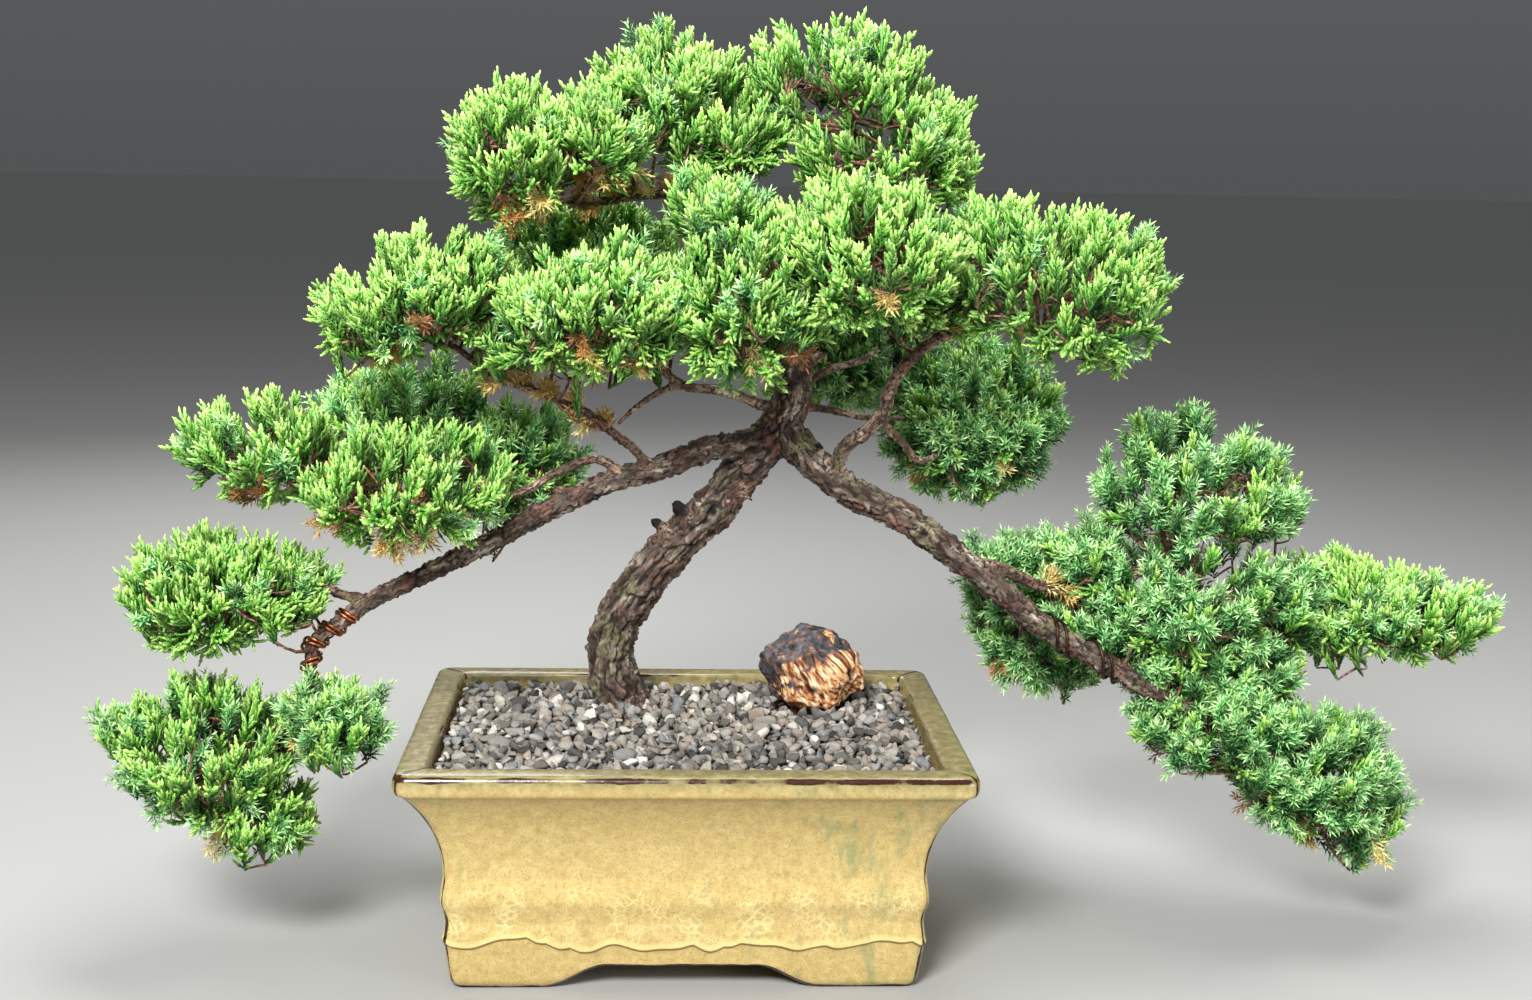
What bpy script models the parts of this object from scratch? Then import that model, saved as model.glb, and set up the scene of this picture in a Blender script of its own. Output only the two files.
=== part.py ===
"""A trained juniper bonsai in a glazed rectangular pot, with gravel, an ornamental stone and
training wire. Metres, +Z up, +X along the pot's length. The pot stands on z = 0, and the
finished group is centred over the origin."""

import math

import bmesh
import bpy
from mathutils import Matrix, Vector, noise

MM = 0.001
CLEARANCE = 0.3 * MM  # left between two pieces that touch

# Pot: a moulded rectangular tray, wider at the lip than at the waist.
POT_LENGTH = 305 * MM  # over the lip
POT_DEPTH = 231 * MM  # over the lip
POT_HEIGHT = 126 * MM
POT_CORNER = 8 * MM
LIP_THICKNESS = 13 * MM
LIP_ROUND = 2.5 * MM
LIP_OVERHANG = 3.8 * MM  # how far the lip stands out over the top of the body
RIM_WIDTH = 17 * MM
WALL = 9 * MM
WAIST_HEIGHT = 62 * MM
WAIST_INSET = 23.4 * MM  # every inset is measured in from the lip's outer edge
FLARE = 2.2  # how quickly the body draws in under the lip
BEAD_HEIGHT = 50 * MM
BEAD_INSET = 21.8 * MM
GROOVE_HEIGHT = 38 * MM
GROOVE_INSET = 24.4 * MM
BAND_HEIGHT = 27 * MM
BAND_INSET = 23.2 * MM
FOOT_INSET = 28 * MM
ARCH_LENGTH = 112 * MM  # free width between the feet on a long side
ARCH_DEPTH = 74 * MM  # free width between the feet on a short side
ARCH_HEIGHT = 13 * MM
FOOT_THICKNESS = 16 * MM
FLOOR_THICKNESS = 9 * MM
DRAIN_RADIUS = 12 * MM
DRAIN_SPACING = 130 * MM

# Drainage screens and the staples that hold them over the drain holes.
SCREEN_SIDE = 38 * MM
SCREEN_THICKNESS = 1.2 * MM
SCREEN_OPENINGS = 4  # along each side
SCREEN_BAR = 2.2 * MM
STAPLE_RADIUS = 0.8 * MM
STAPLE_FLAT = 6 * MM  # how far each leg turns out under the pot's floor

# Soil, gravel and stone.
GRAVEL_BELOW_RIM = 5 * MM
GRAVEL_THICKNESS = 9 * MM
GRAVEL_PATCH = 19 * MM  # spacing of the points that shape the uneven top
GRAVEL_BUMP = 0.8 * MM
STONE_SIZE = (59 * MM, 44 * MM, 49 * MM)
STONE_PLACE = (75 * MM, 52 * MM)
STONE_BEDDED = 3 * MM

# Tree: the routes and foliage below are in millimetres, for a tree of the layout's spread and
# rise, and grow with these sizes.
TREE_SPREAD = 790 * MM
TREE_RISE = 391 * MM  # above the gravel
TRUNK_DIAMETER = 25 * MM  # half way up
LAYOUT_SPREAD = 790
LAYOUT_RISE = 391
LAYOUT_TRUNK_DIAMETER = 25
LAYOUT_FOOT = (-37, 56, 121)
TRUNK_PLACE = (-37 * MM, 56 * MM)

# Training wire.
COPPER_RADIUS = 0.9 * MM
COPPER_PITCH = 11.5 * MM
DARK_WIRE_RADIUS = 0.9 * MM
DARK_WIRE_PITCH = 30 * MM
PIGTAIL_RADIUS = 4 * MM
WIRE_POINTS_PER_TURN = 9

GRAVEL_TOP = POT_HEIGHT - GRAVEL_BELOW_RIM
SOIL_TOP = GRAVEL_TOP - GRAVEL_THICKNESS
POT_FLOOR = ARCH_HEIGHT + FLOOR_THICKNESS
SPREAD_STEP = TREE_SPREAD / LAYOUT_SPREAD  # what a millimetre of the layout comes to
RISE_STEP = TREE_RISE / LAYOUT_RISE
GIRTH_STEP = TRUNK_DIAMETER / LAYOUT_TRUNK_DIAMETER

# Each piece of wood is a route of (x, y, z, radius) from its foot to its tip.
TRUNK = [
    (-34, 58, 92, 19), (-36, 57, 112, 18.5), (-38, 56, 123, 16.5), (-43, 55, 138, 13.8),
    (-45, 54, 150, 12.8), (-43, 52, 162, 12.4), (-35, 48, 181, 12.2), (-21, 43, 203, 12.4),
    (-5, 38, 222, 12.6), (16, 32, 244, 11.8), (32, 27, 266, 11.4), (48, 23, 286, 12.4),
    (58, 20, 307, 11.2), (61, 17, 335, 8), (63, 14, 364, 6.6), (66, 12, 392, 5.6),
    (75, 14, 422, 4.6), (84, 18, 450, 3.6), (91, 20, 474, 2.4),
]
LEFT_LIMB = [
    (52, 22, 287, 8), (29, 18, 281, 7.6), (11, 15, 279, 7), (-12, 9, 270, 6.6),
    (-39, 3, 263, 6.4), (-65, -3, 252, 6.2), (-88, -9, 241, 5.9), (-110, -14, 229, 5.6),
    (-133, -18, 218, 5.3), (-156, -22, 207, 5), (-176, -25, 197, 4.8), (-188, -27, 188, 4.4),
    (-199, -30, 180, 4.1), (-205, -32, 174, 3.9), (-205, -34, 166, 3.8), (-206, -36, 157, 3.6),
    (-209, -38, 146, 3.4), (-222, -40, 129, 3), (-254, -38, 108, 1.8),
]
RIGHT_LIMB = [
    (55, 20, 290, 9.4), (69, 16, 274, 9.2), (88, 10, 259, 8.9), (106, 5, 250, 8.6),
    (122, 0, 243, 8.3), (145, -7, 227, 7.9), (169, -13, 210, 7.3), (194, -17, 189, 6.8),
    (220, -19, 173, 6.3), (246, -18, 158, 5.7), (266, -15, 146, 5), (293, -8, 133, 3.8),
    (334, 0, 109, 2.6), (376, 4, 82, 1.6),
]
BRANCHES = {
    "left_tip_twig": [(-173, -24, 198, 3), (-190, -27, 202, 2.8), (-203, -28, 208, 2.5),
                      (-228, -27, 204, 2.1), (-262, -22, 198, 1.4)],
    "left_spur": [(-208, -37, 149, 2.4), (-199, -48, 140, 2.1), (-184, -56, 137, 1.3)],
    "left_middle_twig": [(-36, 3, 264, 3), (-47, 0, 273, 2.7), (-57, -4, 274, 2.6),
                         (-74, -10, 268, 2.5), (-93, -18, 258, 2.4), (-125, -26, 253, 2.2),
                         (-157, -30, 259, 2), (-200, -28, 270, 1.8), (-228, -24, 275, 1.3)],
    "left_back_twig": [(-54, 0, 255, 2.6), (-73, 20, 253, 2.4), (-97, 42, 257, 2.2),
                       (-130, 48, 274, 2), (-165, 50, 288, 1.3)],
    "left_upper_twig": [(-20, 5, 267, 3), (-30, 2, 279, 2.8), (-42, -2, 289, 2.7),
                        (-57, -6, 301, 2.5), (-74, -10, 309, 2.4), (-104, -16, 321, 2.2),
                        (-130, -20, 339, 1.9), (-155, -22, 354, 1.3)],
    "front_twig": [(54, 22, 298, 3.6), (41, 18, 304, 3.2), (18, 6, 313, 2.9),
                   (-6, -8, 318, 2.6), (-25, -28, 338, 2.2), (-46, -45, 354, 1.4)],
    "bare_spur": [(-3, -6, 317, 2.2), (-15, -12, 315, 2), (-30, -20, 306, 1.7),
                  (-40, -24, 297, 1.2)],
    "centre_twig": [(61, 17, 328, 3.4), (48, 0, 345, 2.7), (31, -28, 361, 2.2),
                    (16, -22, 394, 1.3)],
    "left_rear_branch": [(62, 17, 348, 3.4), (23, 48, 362, 2.6), (-41, 80, 378, 1.4)],
    "top_left_branch": [(65, 13, 383, 4.2), (49, 18, 404, 3.8), (29, 24, 418, 3.4),
                        (4, 26, 422, 3.1), (-29, 20, 420, 2.8), (-56, 10, 416, 2.5),
                        (-81, 2, 420, 2.1), (-98, 0, 434, 1.4)],
    "top_middle_twig": [(31, 23, 417, 2.6), (20, 27, 436, 2.2), (-4, 30, 468, 1.3)],
    "front_right_twig": [(62, 15, 352, 3.6), (78, -18, 372, 2.7), (92, -48, 386, 1.4)],
    "rear_branch": [(60, 18, 318, 4), (74, 60, 327, 3), (99, 108, 331, 1.6)],
    "right_upright": [(82, 11, 262, 4.4), (87, 6, 281, 4.2), (98, 0, 291, 4.1),
                      (106, -6, 300, 4), (109, -9, 308, 3.8), (110, -12, 317, 3.6),
                      (120, -18, 334, 3.3), (135, -24, 346, 3), (167, -28, 360, 2.4),
                      (200, -28, 368, 1.5)],
    "right_rear_twig": [(106, -6, 300, 2.6), (122, 10, 283, 2.2), (135, 30, 271, 2),
                        (155, 60, 277, 1.8), (175, 88, 285, 1.2)],
    "rear_twig": [(60, 18, 314, 2.8), (80, 26, 324, 2.3), (100, 42, 328, 2), (112, 74, 332, 1.2)],
    "low_rear_twig": [(60, 20, 304, 2.8), (80, 24, 301, 2.3), (104, 38, 295, 2),
                      (140, 72, 291, 1.2)],
    "far_right_branch": [(158, -10, 218, 4), (176, -8, 216, 3.7), (197, 0, 206, 3.4),
                         (227, 12, 198, 3), (262, 24, 206, 2.5), (292, 34, 230, 1.5)],
    "far_right_tip_twig": [(236, 15, 199, 2.6), (302, 26, 186, 2.2), (363, 28, 181, 1.8),
                           (430, 26, 180, 1.2)],
    "right_under_twig": [(165, -12, 212, 3), (182, 16, 204, 2.4), (200, 44, 186, 2),
                         (224, 64, 162, 1.2)],
}
ROOTS = [
    [(-36, 57, 112, 9), (-64, 50, 106, 6), (-92, 44, 92, 2.5)],
    [(-36, 57, 112, 9), (-22, 36, 108, 6), (-6, 10, 94, 2.5)],
    [(-36, 57, 112, 9), (-8, 64, 108, 6), (24, 68, 94, 2.5)],
    [(-36, 57, 110, 8), (-44, 72, 104, 5.5), (-56, 84, 90, 2.5)],
    [(-34, 58, 96, 11), (-30, 48, 78, 7), (-22, 30, 56, 3)],
]

# Each pad of foliage is a cloud of mounds, (x, y, z) and (half length, half depth, half height),
# and gives way to the pads that it names.
FOLIAGE = {
    "foliage_apex": ([((80, 22, 482), (50, 64, 33)), ((106, 12, 442), (54, 68, 42))], []),
    "foliage_top_middle": (
        [((-14, 32, 477), (42, 56, 30)), ((16, 32, 451), (38, 52, 24))],
        ["foliage_apex"]),
    "foliage_top_left": (
        [((-98, 0, 438), (38, 58, 40)), ((-51, 5, 447), (28, 50, 30))],
        ["foliage_top_middle"]),
    "foliage_centre_right": (
        [((91, -56, 389), (53, 58, 40))],
        ["foliage_apex"]),
    "foliage_centre": (
        [((28, -46, 361), (46, 58, 44)), ((12, -26, 407), (28, 42, 30))],
        ["foliage_centre_right", "foliage_apex", "foliage_top_middle"]),
    "foliage_centre_left": ([((-50, -54, 358), (50, 60, 34))], ["foliage_centre"]),
    "foliage_left_upper": (
        [((-168, -22, 350), (34, 50, 28)), ((-136, -22, 365), (44, 60, 31))],
        ["foliage_centre_left"]),
    "foliage_left_rear_upper": ([((-58, 92, 380), (56, 58, 34))], []),
    "foliage_right": (
        [((172, -26, 383), (42, 60, 40)), ((214, -26, 369), (43, 64, 45))],
        ["foliage_centre_right"]),
    "foliage_rear": ([((92, 126, 334), (66, 62, 52))], []),
    "foliage_right_rear": ([((172, 96, 285), (56, 62, 50))], ["foliage_rear"]),
    "foliage_left_middle": (
        [((-232, -22, 278), (42, 50, 30)), ((-154, -32, 260), (56, 66, 35))], []),
    "foliage_left_rear": (
        [((-165, 62, 288), (52, 52, 29)), ((-105, 56, 262), (43, 48, 35))],
        ["foliage_left_middle"]),
    "foliage_left_tip": (
        [((-265, -20, 198), (45, 54, 34)), ((-226, -27, 204), (33, 46, 24))], []),
    "foliage_left_hanging": (
        [((-258, -38, 110), (49, 56, 39)), ((-292, -38, 124), (25, 34, 21)),
         ((-234, -38, 78), (30, 36, 22))], []),
    "foliage_left_spur": ([((-187, -58, 137), (27, 34, 18))], []),
    "foliage_far_right": (
        [((297, 34, 249), (62, 62, 46)), ((295, 26, 191), (83, 70, 50))], []),
    "foliage_far_right_tip": (
        [((389, 28, 188), (48, 50, 28)), ((438, 26, 179), (37, 36, 25))],
        ["foliage_far_right"]),
    "foliage_far_right_hanging": (
        [((312, -4, 120), (51, 50, 30)), ((366, 4, 93), (48, 52, 41)),
         ((391, 4, 64), (32, 34, 27))],
        ["foliage_far_right"]),
    "foliage_right_under": (
        [((200, 46, 196), (36, 36, 28)), ((224, 72, 160), (50, 48, 40))],
        ["foliage_far_right"]),
}
MOUND_AROUND = 12
MOUND_RINGS = 6
MOUND_BUMP = 0.07  # of the mound's radius
MOUND_UNDERSIDE = 0.88  # of the half height, because a pad is flatter below


def clear_scene():
    for obj in list(bpy.data.objects):
        bpy.data.objects.remove(obj, do_unlink=True)


def material(name, colour, roughness, metallic=0.0):
    made = bpy.data.materials.new(name)
    made.use_nodes = True
    shader = made.node_tree.nodes["Principled BSDF"]
    shader.inputs["Base Color"].default_value = (*colour, 1)
    shader.inputs["Roughness"].default_value = roughness
    shader.inputs["Metallic"].default_value = metallic
    made.diffuse_color = (*colour, 1)
    return made


def mesh_object(name, points, faces, finish=None):
    """An object from points and faces, its faces turned outwards and shaded smooth."""
    mesh = bpy.data.meshes.new(name)
    mesh.from_pydata([tuple(point) for point in points], [], faces)
    made = bmesh.new()
    made.from_mesh(mesh)
    bmesh.ops.recalc_face_normals(made, faces=made.faces)
    made.to_mesh(mesh)
    made.free()
    mesh.shade_smooth()
    mesh.set_sharp_from_angle(angle=math.radians(40))
    obj = bpy.data.objects.new(name, mesh)
    bpy.context.scene.collection.objects.link(obj)
    if finish:
        mesh.materials.append(finish)
    return obj


def helper(obj):
    """Marks an object as a cutter or a building block, which isn't a piece of its own."""
    obj.hide_render = True
    obj.display_type = "WIRE"
    return obj


def combine(obj, other, operation):
    modifier = obj.modifiers.new(f"{operation.lower()}_{other.name}", "BOOLEAN")
    modifier.operation = operation
    modifier.solver = "EXACT"
    modifier.object = other


def loft(name, rings, finish=None):
    """A closed skin through rings of points, with a flat face on the first and the last."""
    count = len(rings[0])
    points = [point for ring in rings for point in ring]
    faces = [list(range(count)), list(range(len(points) - count, len(points)))]
    for ring in range(len(rings) - 1):
        for i in range(count):
            j = (i + 1) % count
            low, high = ring * count, (ring + 1) * count
            faces.append([low + i, low + j, high + j, high + i])
    return mesh_object(name, points, faces, finish)


def rounded_rectangle(half_length, half_depth, corner, z, corner_points=4):
    ring = []
    for quadrant in range(4):
        sign_x = 1 if quadrant in (0, 3) else -1
        sign_y = 1 if quadrant in (0, 1) else -1
        for i in range(corner_points):
            angle = math.radians(90 * (quadrant + i / (corner_points - 1)))
            ring.append(Vector((sign_x * (half_length - corner) + corner * math.cos(angle),
                                sign_y * (half_depth - corner) + corner * math.sin(angle), z)))
    return ring


def pot_ring(inset, z):
    corner = max(POT_CORNER - inset * 0.1, 4 * MM)
    return rounded_rectangle(POT_LENGTH / 2 - inset, POT_DEPTH / 2 - inset, corner, z)


def body_inset(z):
    """How far the flared body stands in from the lip's edge at this height."""
    flare_top = POT_HEIGHT - LIP_THICKNESS
    fall = (flare_top - z) / (flare_top - WAIST_HEIGHT)
    drawn_in = 1 - (1 - min(max(fall, 0), 1)) ** FLARE
    return LIP_OVERHANG + (WAIST_INSET - LIP_OVERHANG) * drawn_in


def flare_heights(steps):
    flare_top = POT_HEIGHT - LIP_THICKNESS
    return [WAIST_HEIGHT + (flare_top - WAIST_HEIGHT) * i / steps for i in range(steps + 1)]


def inner_profile():
    """The inside wall, (inset, height) from the floor up: a wall's thickness in from the flare,
    and upright under the rim."""
    drawn_in = (RIM_WIDTH - WALL - LIP_OVERHANG) / (WAIST_INSET - LIP_OVERHANG)
    flare_top = POT_HEIGHT - LIP_THICKNESS
    neck = flare_top - (flare_top - WAIST_HEIGHT) * (1 - (1 - drawn_in) ** (1 / FLARE))
    flared = [(body_inset(z) + WALL, z) for z in flare_heights(5) if z < neck - MM]
    return [(flared[0][0], POT_FLOOR)] + flared + [(RIM_WIDTH, neck), (RIM_WIDTH, POT_HEIGHT)]


def inner_inset(z):
    """How far the inside wall stands in from the lip's edge at this height."""
    profile = inner_profile()
    for (low_inset, low), (high_inset, high) in zip(profile, profile[1:]):
        if low <= z <= high:
            return low_inset + (high_inset - low_inset) * (z - low) / (high - low)
    return RIM_WIDTH


def box(name, low, high):
    ring = [(low[0], low[1]), (high[0], low[1]), (high[0], high[1]), (low[0], high[1])]
    return loft(name, [[Vector((x, y, z)) for x, y in ring] for z in (low[2], high[2])])


def cylinder(name, centre, radius, low, high, sides=24):
    rings = []
    for z in (low, high):
        angles = [math.tau * i / sides for i in range(sides)]
        rings.append([Vector((centre[0] + radius * math.cos(a), centre[1] + radius * math.sin(a), z))
                      for a in angles])
    return loft(name, rings)


def arch_cutter(name, width, reach, along_x):
    """The space between two feet: its upper corners are round, and it runs right through."""
    corner = ARCH_HEIGHT * 0.8
    outline = [(-width / 2, -CLEARANCE), (width / 2, -CLEARANCE)]
    for side in (1, -1):
        for i in range(6):
            angle = math.radians(90 * i / 5 if side == 1 else 90 + 90 * i / 5)
            outline.append((side * (width / 2 - corner) + corner * math.cos(angle),
                            ARCH_HEIGHT - corner + corner * math.sin(angle)))
    ends = []
    for end in (-reach, reach):
        ends.append([Vector((end, -x, z)) if along_x else Vector((x, end, z)) for x, z in outline])
    return helper(loft(name, ends))


def drain_centres():
    return {"left": (-DRAIN_SPACING / 2, 0), "right": (DRAIN_SPACING / 2, 0)}


def make_pot(finish):
    """One body: a flared tray with a rolled lip, a bead and a band at its foot, and four feet."""
    lip_bottom = POT_HEIGHT - LIP_THICKNESS
    outside = [
        (FOOT_INSET, 0), (FOOT_INSET - 1.5 * MM, 4 * MM), (FOOT_INSET - 3.5 * MM, ARCH_HEIGHT + 7 * MM),
        (BAND_INSET, BAND_HEIGHT), (GROOVE_INSET, GROOVE_HEIGHT), (BEAD_INSET, BEAD_HEIGHT),
    ]
    outside += [(body_inset(z), z) for z in flare_heights(6)]
    outside += [
        (LIP_ROUND * 0.6, lip_bottom + LIP_ROUND), (0, POT_HEIGHT - LIP_THICKNESS / 2),
        (LIP_ROUND * 0.3, POT_HEIGHT - LIP_ROUND), (LIP_ROUND, POT_HEIGHT),
    ]
    inside = list(reversed(inner_profile()))
    pot = loft("pot", [pot_ring(inset, z) for inset, z in outside + inside], finish)
    combine(pot, arch_cutter("arch_through_depth", ARCH_LENGTH, POT_DEPTH, False), "DIFFERENCE")
    combine(pot, arch_cutter("arch_through_length", ARCH_DEPTH, POT_LENGTH, True), "DIFFERENCE")
    recess_x = POT_LENGTH / 2 - FOOT_INSET - FOOT_THICKNESS
    recess_y = POT_DEPTH / 2 - FOOT_INSET - FOOT_THICKNESS
    recess = helper(box("foot_recess", (-recess_x, -recess_y, -MM), (recess_x, recess_y, ARCH_HEIGHT)))
    combine(pot, recess, "DIFFERENCE")
    for side, centre in drain_centres().items():
        hole = helper(cylinder(f"drain_{side}", centre, DRAIN_RADIUS, 0, POT_FLOOR + MM))
        combine(pot, hole, "DIFFERENCE")
    return pot


def staple_reach():
    """Half the width of a staple: its legs pass through the screen's middle openings."""
    opening = (SCREEN_SIDE - SCREEN_BAR) / SCREEN_OPENINGS
    return opening / 2


def make_screen(side, centre, finish):
    """A plastic screen with square openings, lying on the pot's floor over a drain hole."""
    low = POT_FLOOR + CLEARANCE
    half = SCREEN_SIDE / 2
    screen = box(f"drainage_screen_{side}", (centre[0] - half, centre[1] - half, low),
                 (centre[0] + half, centre[1] + half, low + SCREEN_THICKNESS))
    screen.data.materials.append(finish)
    pitch = (SCREEN_SIDE - SCREEN_BAR) / SCREEN_OPENINGS
    opening = (pitch - SCREEN_BAR) / 2
    for i in range(SCREEN_OPENINGS):
        for j in range(SCREEN_OPENINGS):
            x = centre[0] - half + SCREEN_BAR / 2 + pitch * (i + 0.5)
            y = centre[1] - half + SCREEN_BAR / 2 + pitch * (j + 0.5)
            cutter = box(f"screen_opening_{side}_{i}_{j}", (x - opening, y - opening, low - MM),
                         (x + opening, y + opening, low + SCREEN_THICKNESS + MM))
            combine(screen, helper(cutter), "DIFFERENCE")
    return screen


def wire_object(name, points, radius, finish):
    """A wire along these points, round and closed at both ends."""
    curve = bpy.data.curves.new(name, "CURVE")
    curve.dimensions = "3D"
    curve.bevel_depth = radius
    curve.bevel_resolution = 1
    curve.use_fill_caps = True
    spline = curve.splines.new("POLY")
    spline.points.add(len(points) - 1)
    for point, place in zip(spline.points, points):
        point.co = (*place, 1)
    curve.materials.append(finish)
    obj = bpy.data.objects.new(name, curve)
    bpy.context.scene.collection.objects.link(obj)
    return obj


def make_staple(side, centre, finish):
    """A bent wire: over the screen, down through the drain hole, and out under the floor."""
    reach = staple_reach()
    top = POT_FLOOR + SCREEN_THICKNESS + 2 * CLEARANCE + STAPLE_RADIUS
    bottom = ARCH_HEIGHT - CLEARANCE - STAPLE_RADIUS
    bend = 1.5 * MM
    out = DRAIN_RADIUS + STAPLE_FLAT
    half = [(0, top), (reach - bend, top), (reach, top - bend), (reach, bottom + bend),
            (reach + bend, bottom), (out, bottom)]
    outline = [(-x, z) for x, z in reversed(half[1:])] + half
    points = [Vector((centre[0] + x, centre[1] + reach, z)) for x, z in outline]
    return wire_object(f"screen_staple_{side}", points, STAPLE_RADIUS, finish)


def make_soil(finish):
    """Fills the pot up to the gravel, a clearance in from its walls and floor."""
    walls = [z for _, z in inner_profile() if POT_FLOOR < z < SOIL_TOP]
    heights = [POT_FLOOR + CLEARANCE] + walls + [SOIL_TOP]
    soil = loft("soil", [pot_ring(inner_inset(z) + CLEARANCE, z) for z in heights], finish)
    room_half = SCREEN_SIDE / 2 + CLEARANCE
    room_top = POT_FLOOR + SCREEN_THICKNESS + 3 * CLEARANCE + 2 * STAPLE_RADIUS
    for side, centre in drain_centres().items():
        room = box(f"screen_room_{side}", (centre[0] - room_half, centre[1] - room_half, 0),
                   (centre[0] + room_half, centre[1] + room_half, room_top))
        combine(soil, helper(room), "DIFFERENCE")
    return soil


def into_corner(x, y, half_length, half_depth, corner):
    """Moves a point of a square-cornered grid so that the grid's outline has round corners."""
    over_x = abs(x) - (half_length - corner)
    over_y = abs(y) - (half_depth - corner)
    if over_x <= 0 or over_y <= 0:
        return x, y
    shrink = max(over_x, over_y) / math.hypot(over_x, over_y)
    return (math.copysign(half_length - corner + over_x * shrink, x),
            math.copysign(half_depth - corner + over_y * shrink, y))


def make_gravel(finish):
    """The top dressing as one layer with an uneven top, bedded on the soil."""
    half_length = POT_LENGTH / 2 - RIM_WIDTH - CLEARANCE
    half_depth = POT_DEPTH / 2 - RIM_WIDTH - CLEARANCE
    columns = round(2 * half_length / GRAVEL_PATCH)
    rows = round(2 * half_depth / GRAVEL_PATCH)
    corner = POT_CORNER
    points = []
    for top in (False, True):
        for j in range(rows + 1):
            for i in range(columns + 1):
                x, y = into_corner(half_length * (2 * i / columns - 1), half_depth * (2 * j / rows - 1),
                                   half_length, half_depth, corner)
                bump = noise.noise(Vector((x, y, 0)) / GRAVEL_PATCH * 1.7) * GRAVEL_BUMP
                z = GRAVEL_TOP + bump if top else SOIL_TOP + CLEARANCE
                points.append((x, y, z))
    layer = (rows + 1) * (columns + 1)
    faces = []
    for j in range(rows):
        for i in range(columns):
            a = j * (columns + 1) + i
            quad = [a, a + 1, a + columns + 2, a + columns + 1]
            faces.append(quad)
            faces.append([layer + k for k in quad])
    edge = [i for i in range(columns + 1)]
    edge += [j * (columns + 1) + columns for j in range(1, rows + 1)]
    edge += [rows * (columns + 1) + i for i in range(columns - 1, -1, -1)]
    edge += [j * (columns + 1) for j in range(rows - 1, 0, -1)]
    for here, there in zip(edge, edge[1:] + edge[:1]):
        faces.append([here, there, layer + there, layer + here])
    return mesh_object("gravel", points, faces, finish)


def bumpy_ball(name, centre, half, bump, underside=1.0, room=0.0, around=MOUND_AROUND,
               rings=MOUND_RINGS, finish=None):
    """An uneven rounded solid. The same ball with room is larger by that much all round."""
    points = []
    faces = []
    seed = Vector(centre) * 11

    def place(direction):
        swell = 1 + bump * noise.noise(direction * 2.3 + seed)
        height = half[2] * (underside if direction.z < 0 else 1)
        return Vector((centre[0] + direction.x * (half[0] * swell + room),
                       centre[1] + direction.y * (half[1] * swell + room),
                       centre[2] + direction.z * (height * swell + room)))

    points.append(place(Vector((0, 0, -1))))
    for ring in range(1, rings):
        tilt = math.pi * ring / rings
        for i in range(around):
            turn = math.tau * (i + 0.5 * (ring % 2)) / around
            points.append(place(Vector((math.sin(tilt) * math.cos(turn),
                                        math.sin(tilt) * math.sin(turn), -math.cos(tilt)))))
    points.append(place(Vector((0, 0, 1))))
    last = len(points) - 1
    for i in range(around):
        j = (i + 1) % around
        faces.append([0, 1 + j, 1 + i])
        faces.append([last, last - around + i, last - around + j])
        for ring in range(rings - 2):
            low = 1 + ring * around
            high = low + around
            if ring % 2:
                faces += [[low + i, low + j, high + i], [low + j, high + j, high + i]]
            else:
                faces += [[low + i, high + j, high + i], [low + i, low + j, high + j]]
    return mesh_object(name, points, faces, finish)


def stone_centre():
    return (*STONE_PLACE, GRAVEL_TOP - STONE_BEDDED + STONE_SIZE[2] / 2)


def make_stone(name, room=0.0, finish=None):
    half = [side / 2 for side in STONE_SIZE]
    return bumpy_ball(name, stone_centre(), half, 0.16, room=room, around=16, rings=10, finish=finish)


def grown(x, y, z):
    """A point of the tree's layout at the tree's own size, measured from the trunk's foot."""
    return Vector((TRUNK_PLACE[0] + (x - LAYOUT_FOOT[0]) * SPREAD_STEP,
                   TRUNK_PLACE[1] + (y - LAYOUT_FOOT[1]) * SPREAD_STEP,
                   GRAVEL_TOP + (z - LAYOUT_FOOT[2]) * RISE_STEP))


def smooth_route(route, spacing):
    """Points and radii at even steps along a smooth curve through a piece of wood's route."""
    knots = [grown(*row[:3]) for row in route]
    radii = [row[3] * GIRTH_STEP for row in route]
    knots = [2 * knots[0] - knots[1]] + knots + [2 * knots[-1] - knots[-2]]
    centres, sizes = [], []
    for i in range(len(route) - 1):
        before, start, end, after = knots[i:i + 4]
        steps = max(1, round((end - start).length / spacing))
        for step in range(steps):
            t = step / steps
            centres.append(0.5 * (2 * start + (end - before) * t
                                  + (2 * before - 5 * start + 4 * end - after) * t ** 2
                                  + (3 * start - before - 3 * end + after) * t ** 3))
            sizes.append(radii[i] + (radii[i + 1] - radii[i]) * t)
    centres.append(knots[-2])
    sizes.append(radii[-1])
    return centres, sizes


def frames_along(centres):
    """A pair of directions across the route at each point, turning as little as it can."""
    tangents = []
    for i in range(len(centres)):
        ahead = centres[min(i + 1, len(centres) - 1)] - centres[max(i - 1, 0)]
        tangents.append(ahead.normalized())
    side = tangents[0].orthogonal().normalized()
    frames = []
    for tangent in tangents:
        side = (side - tangent * side.dot(tangent)).normalized()
        frames.append((side, tangent.cross(side)))
    return tangents, frames


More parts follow.
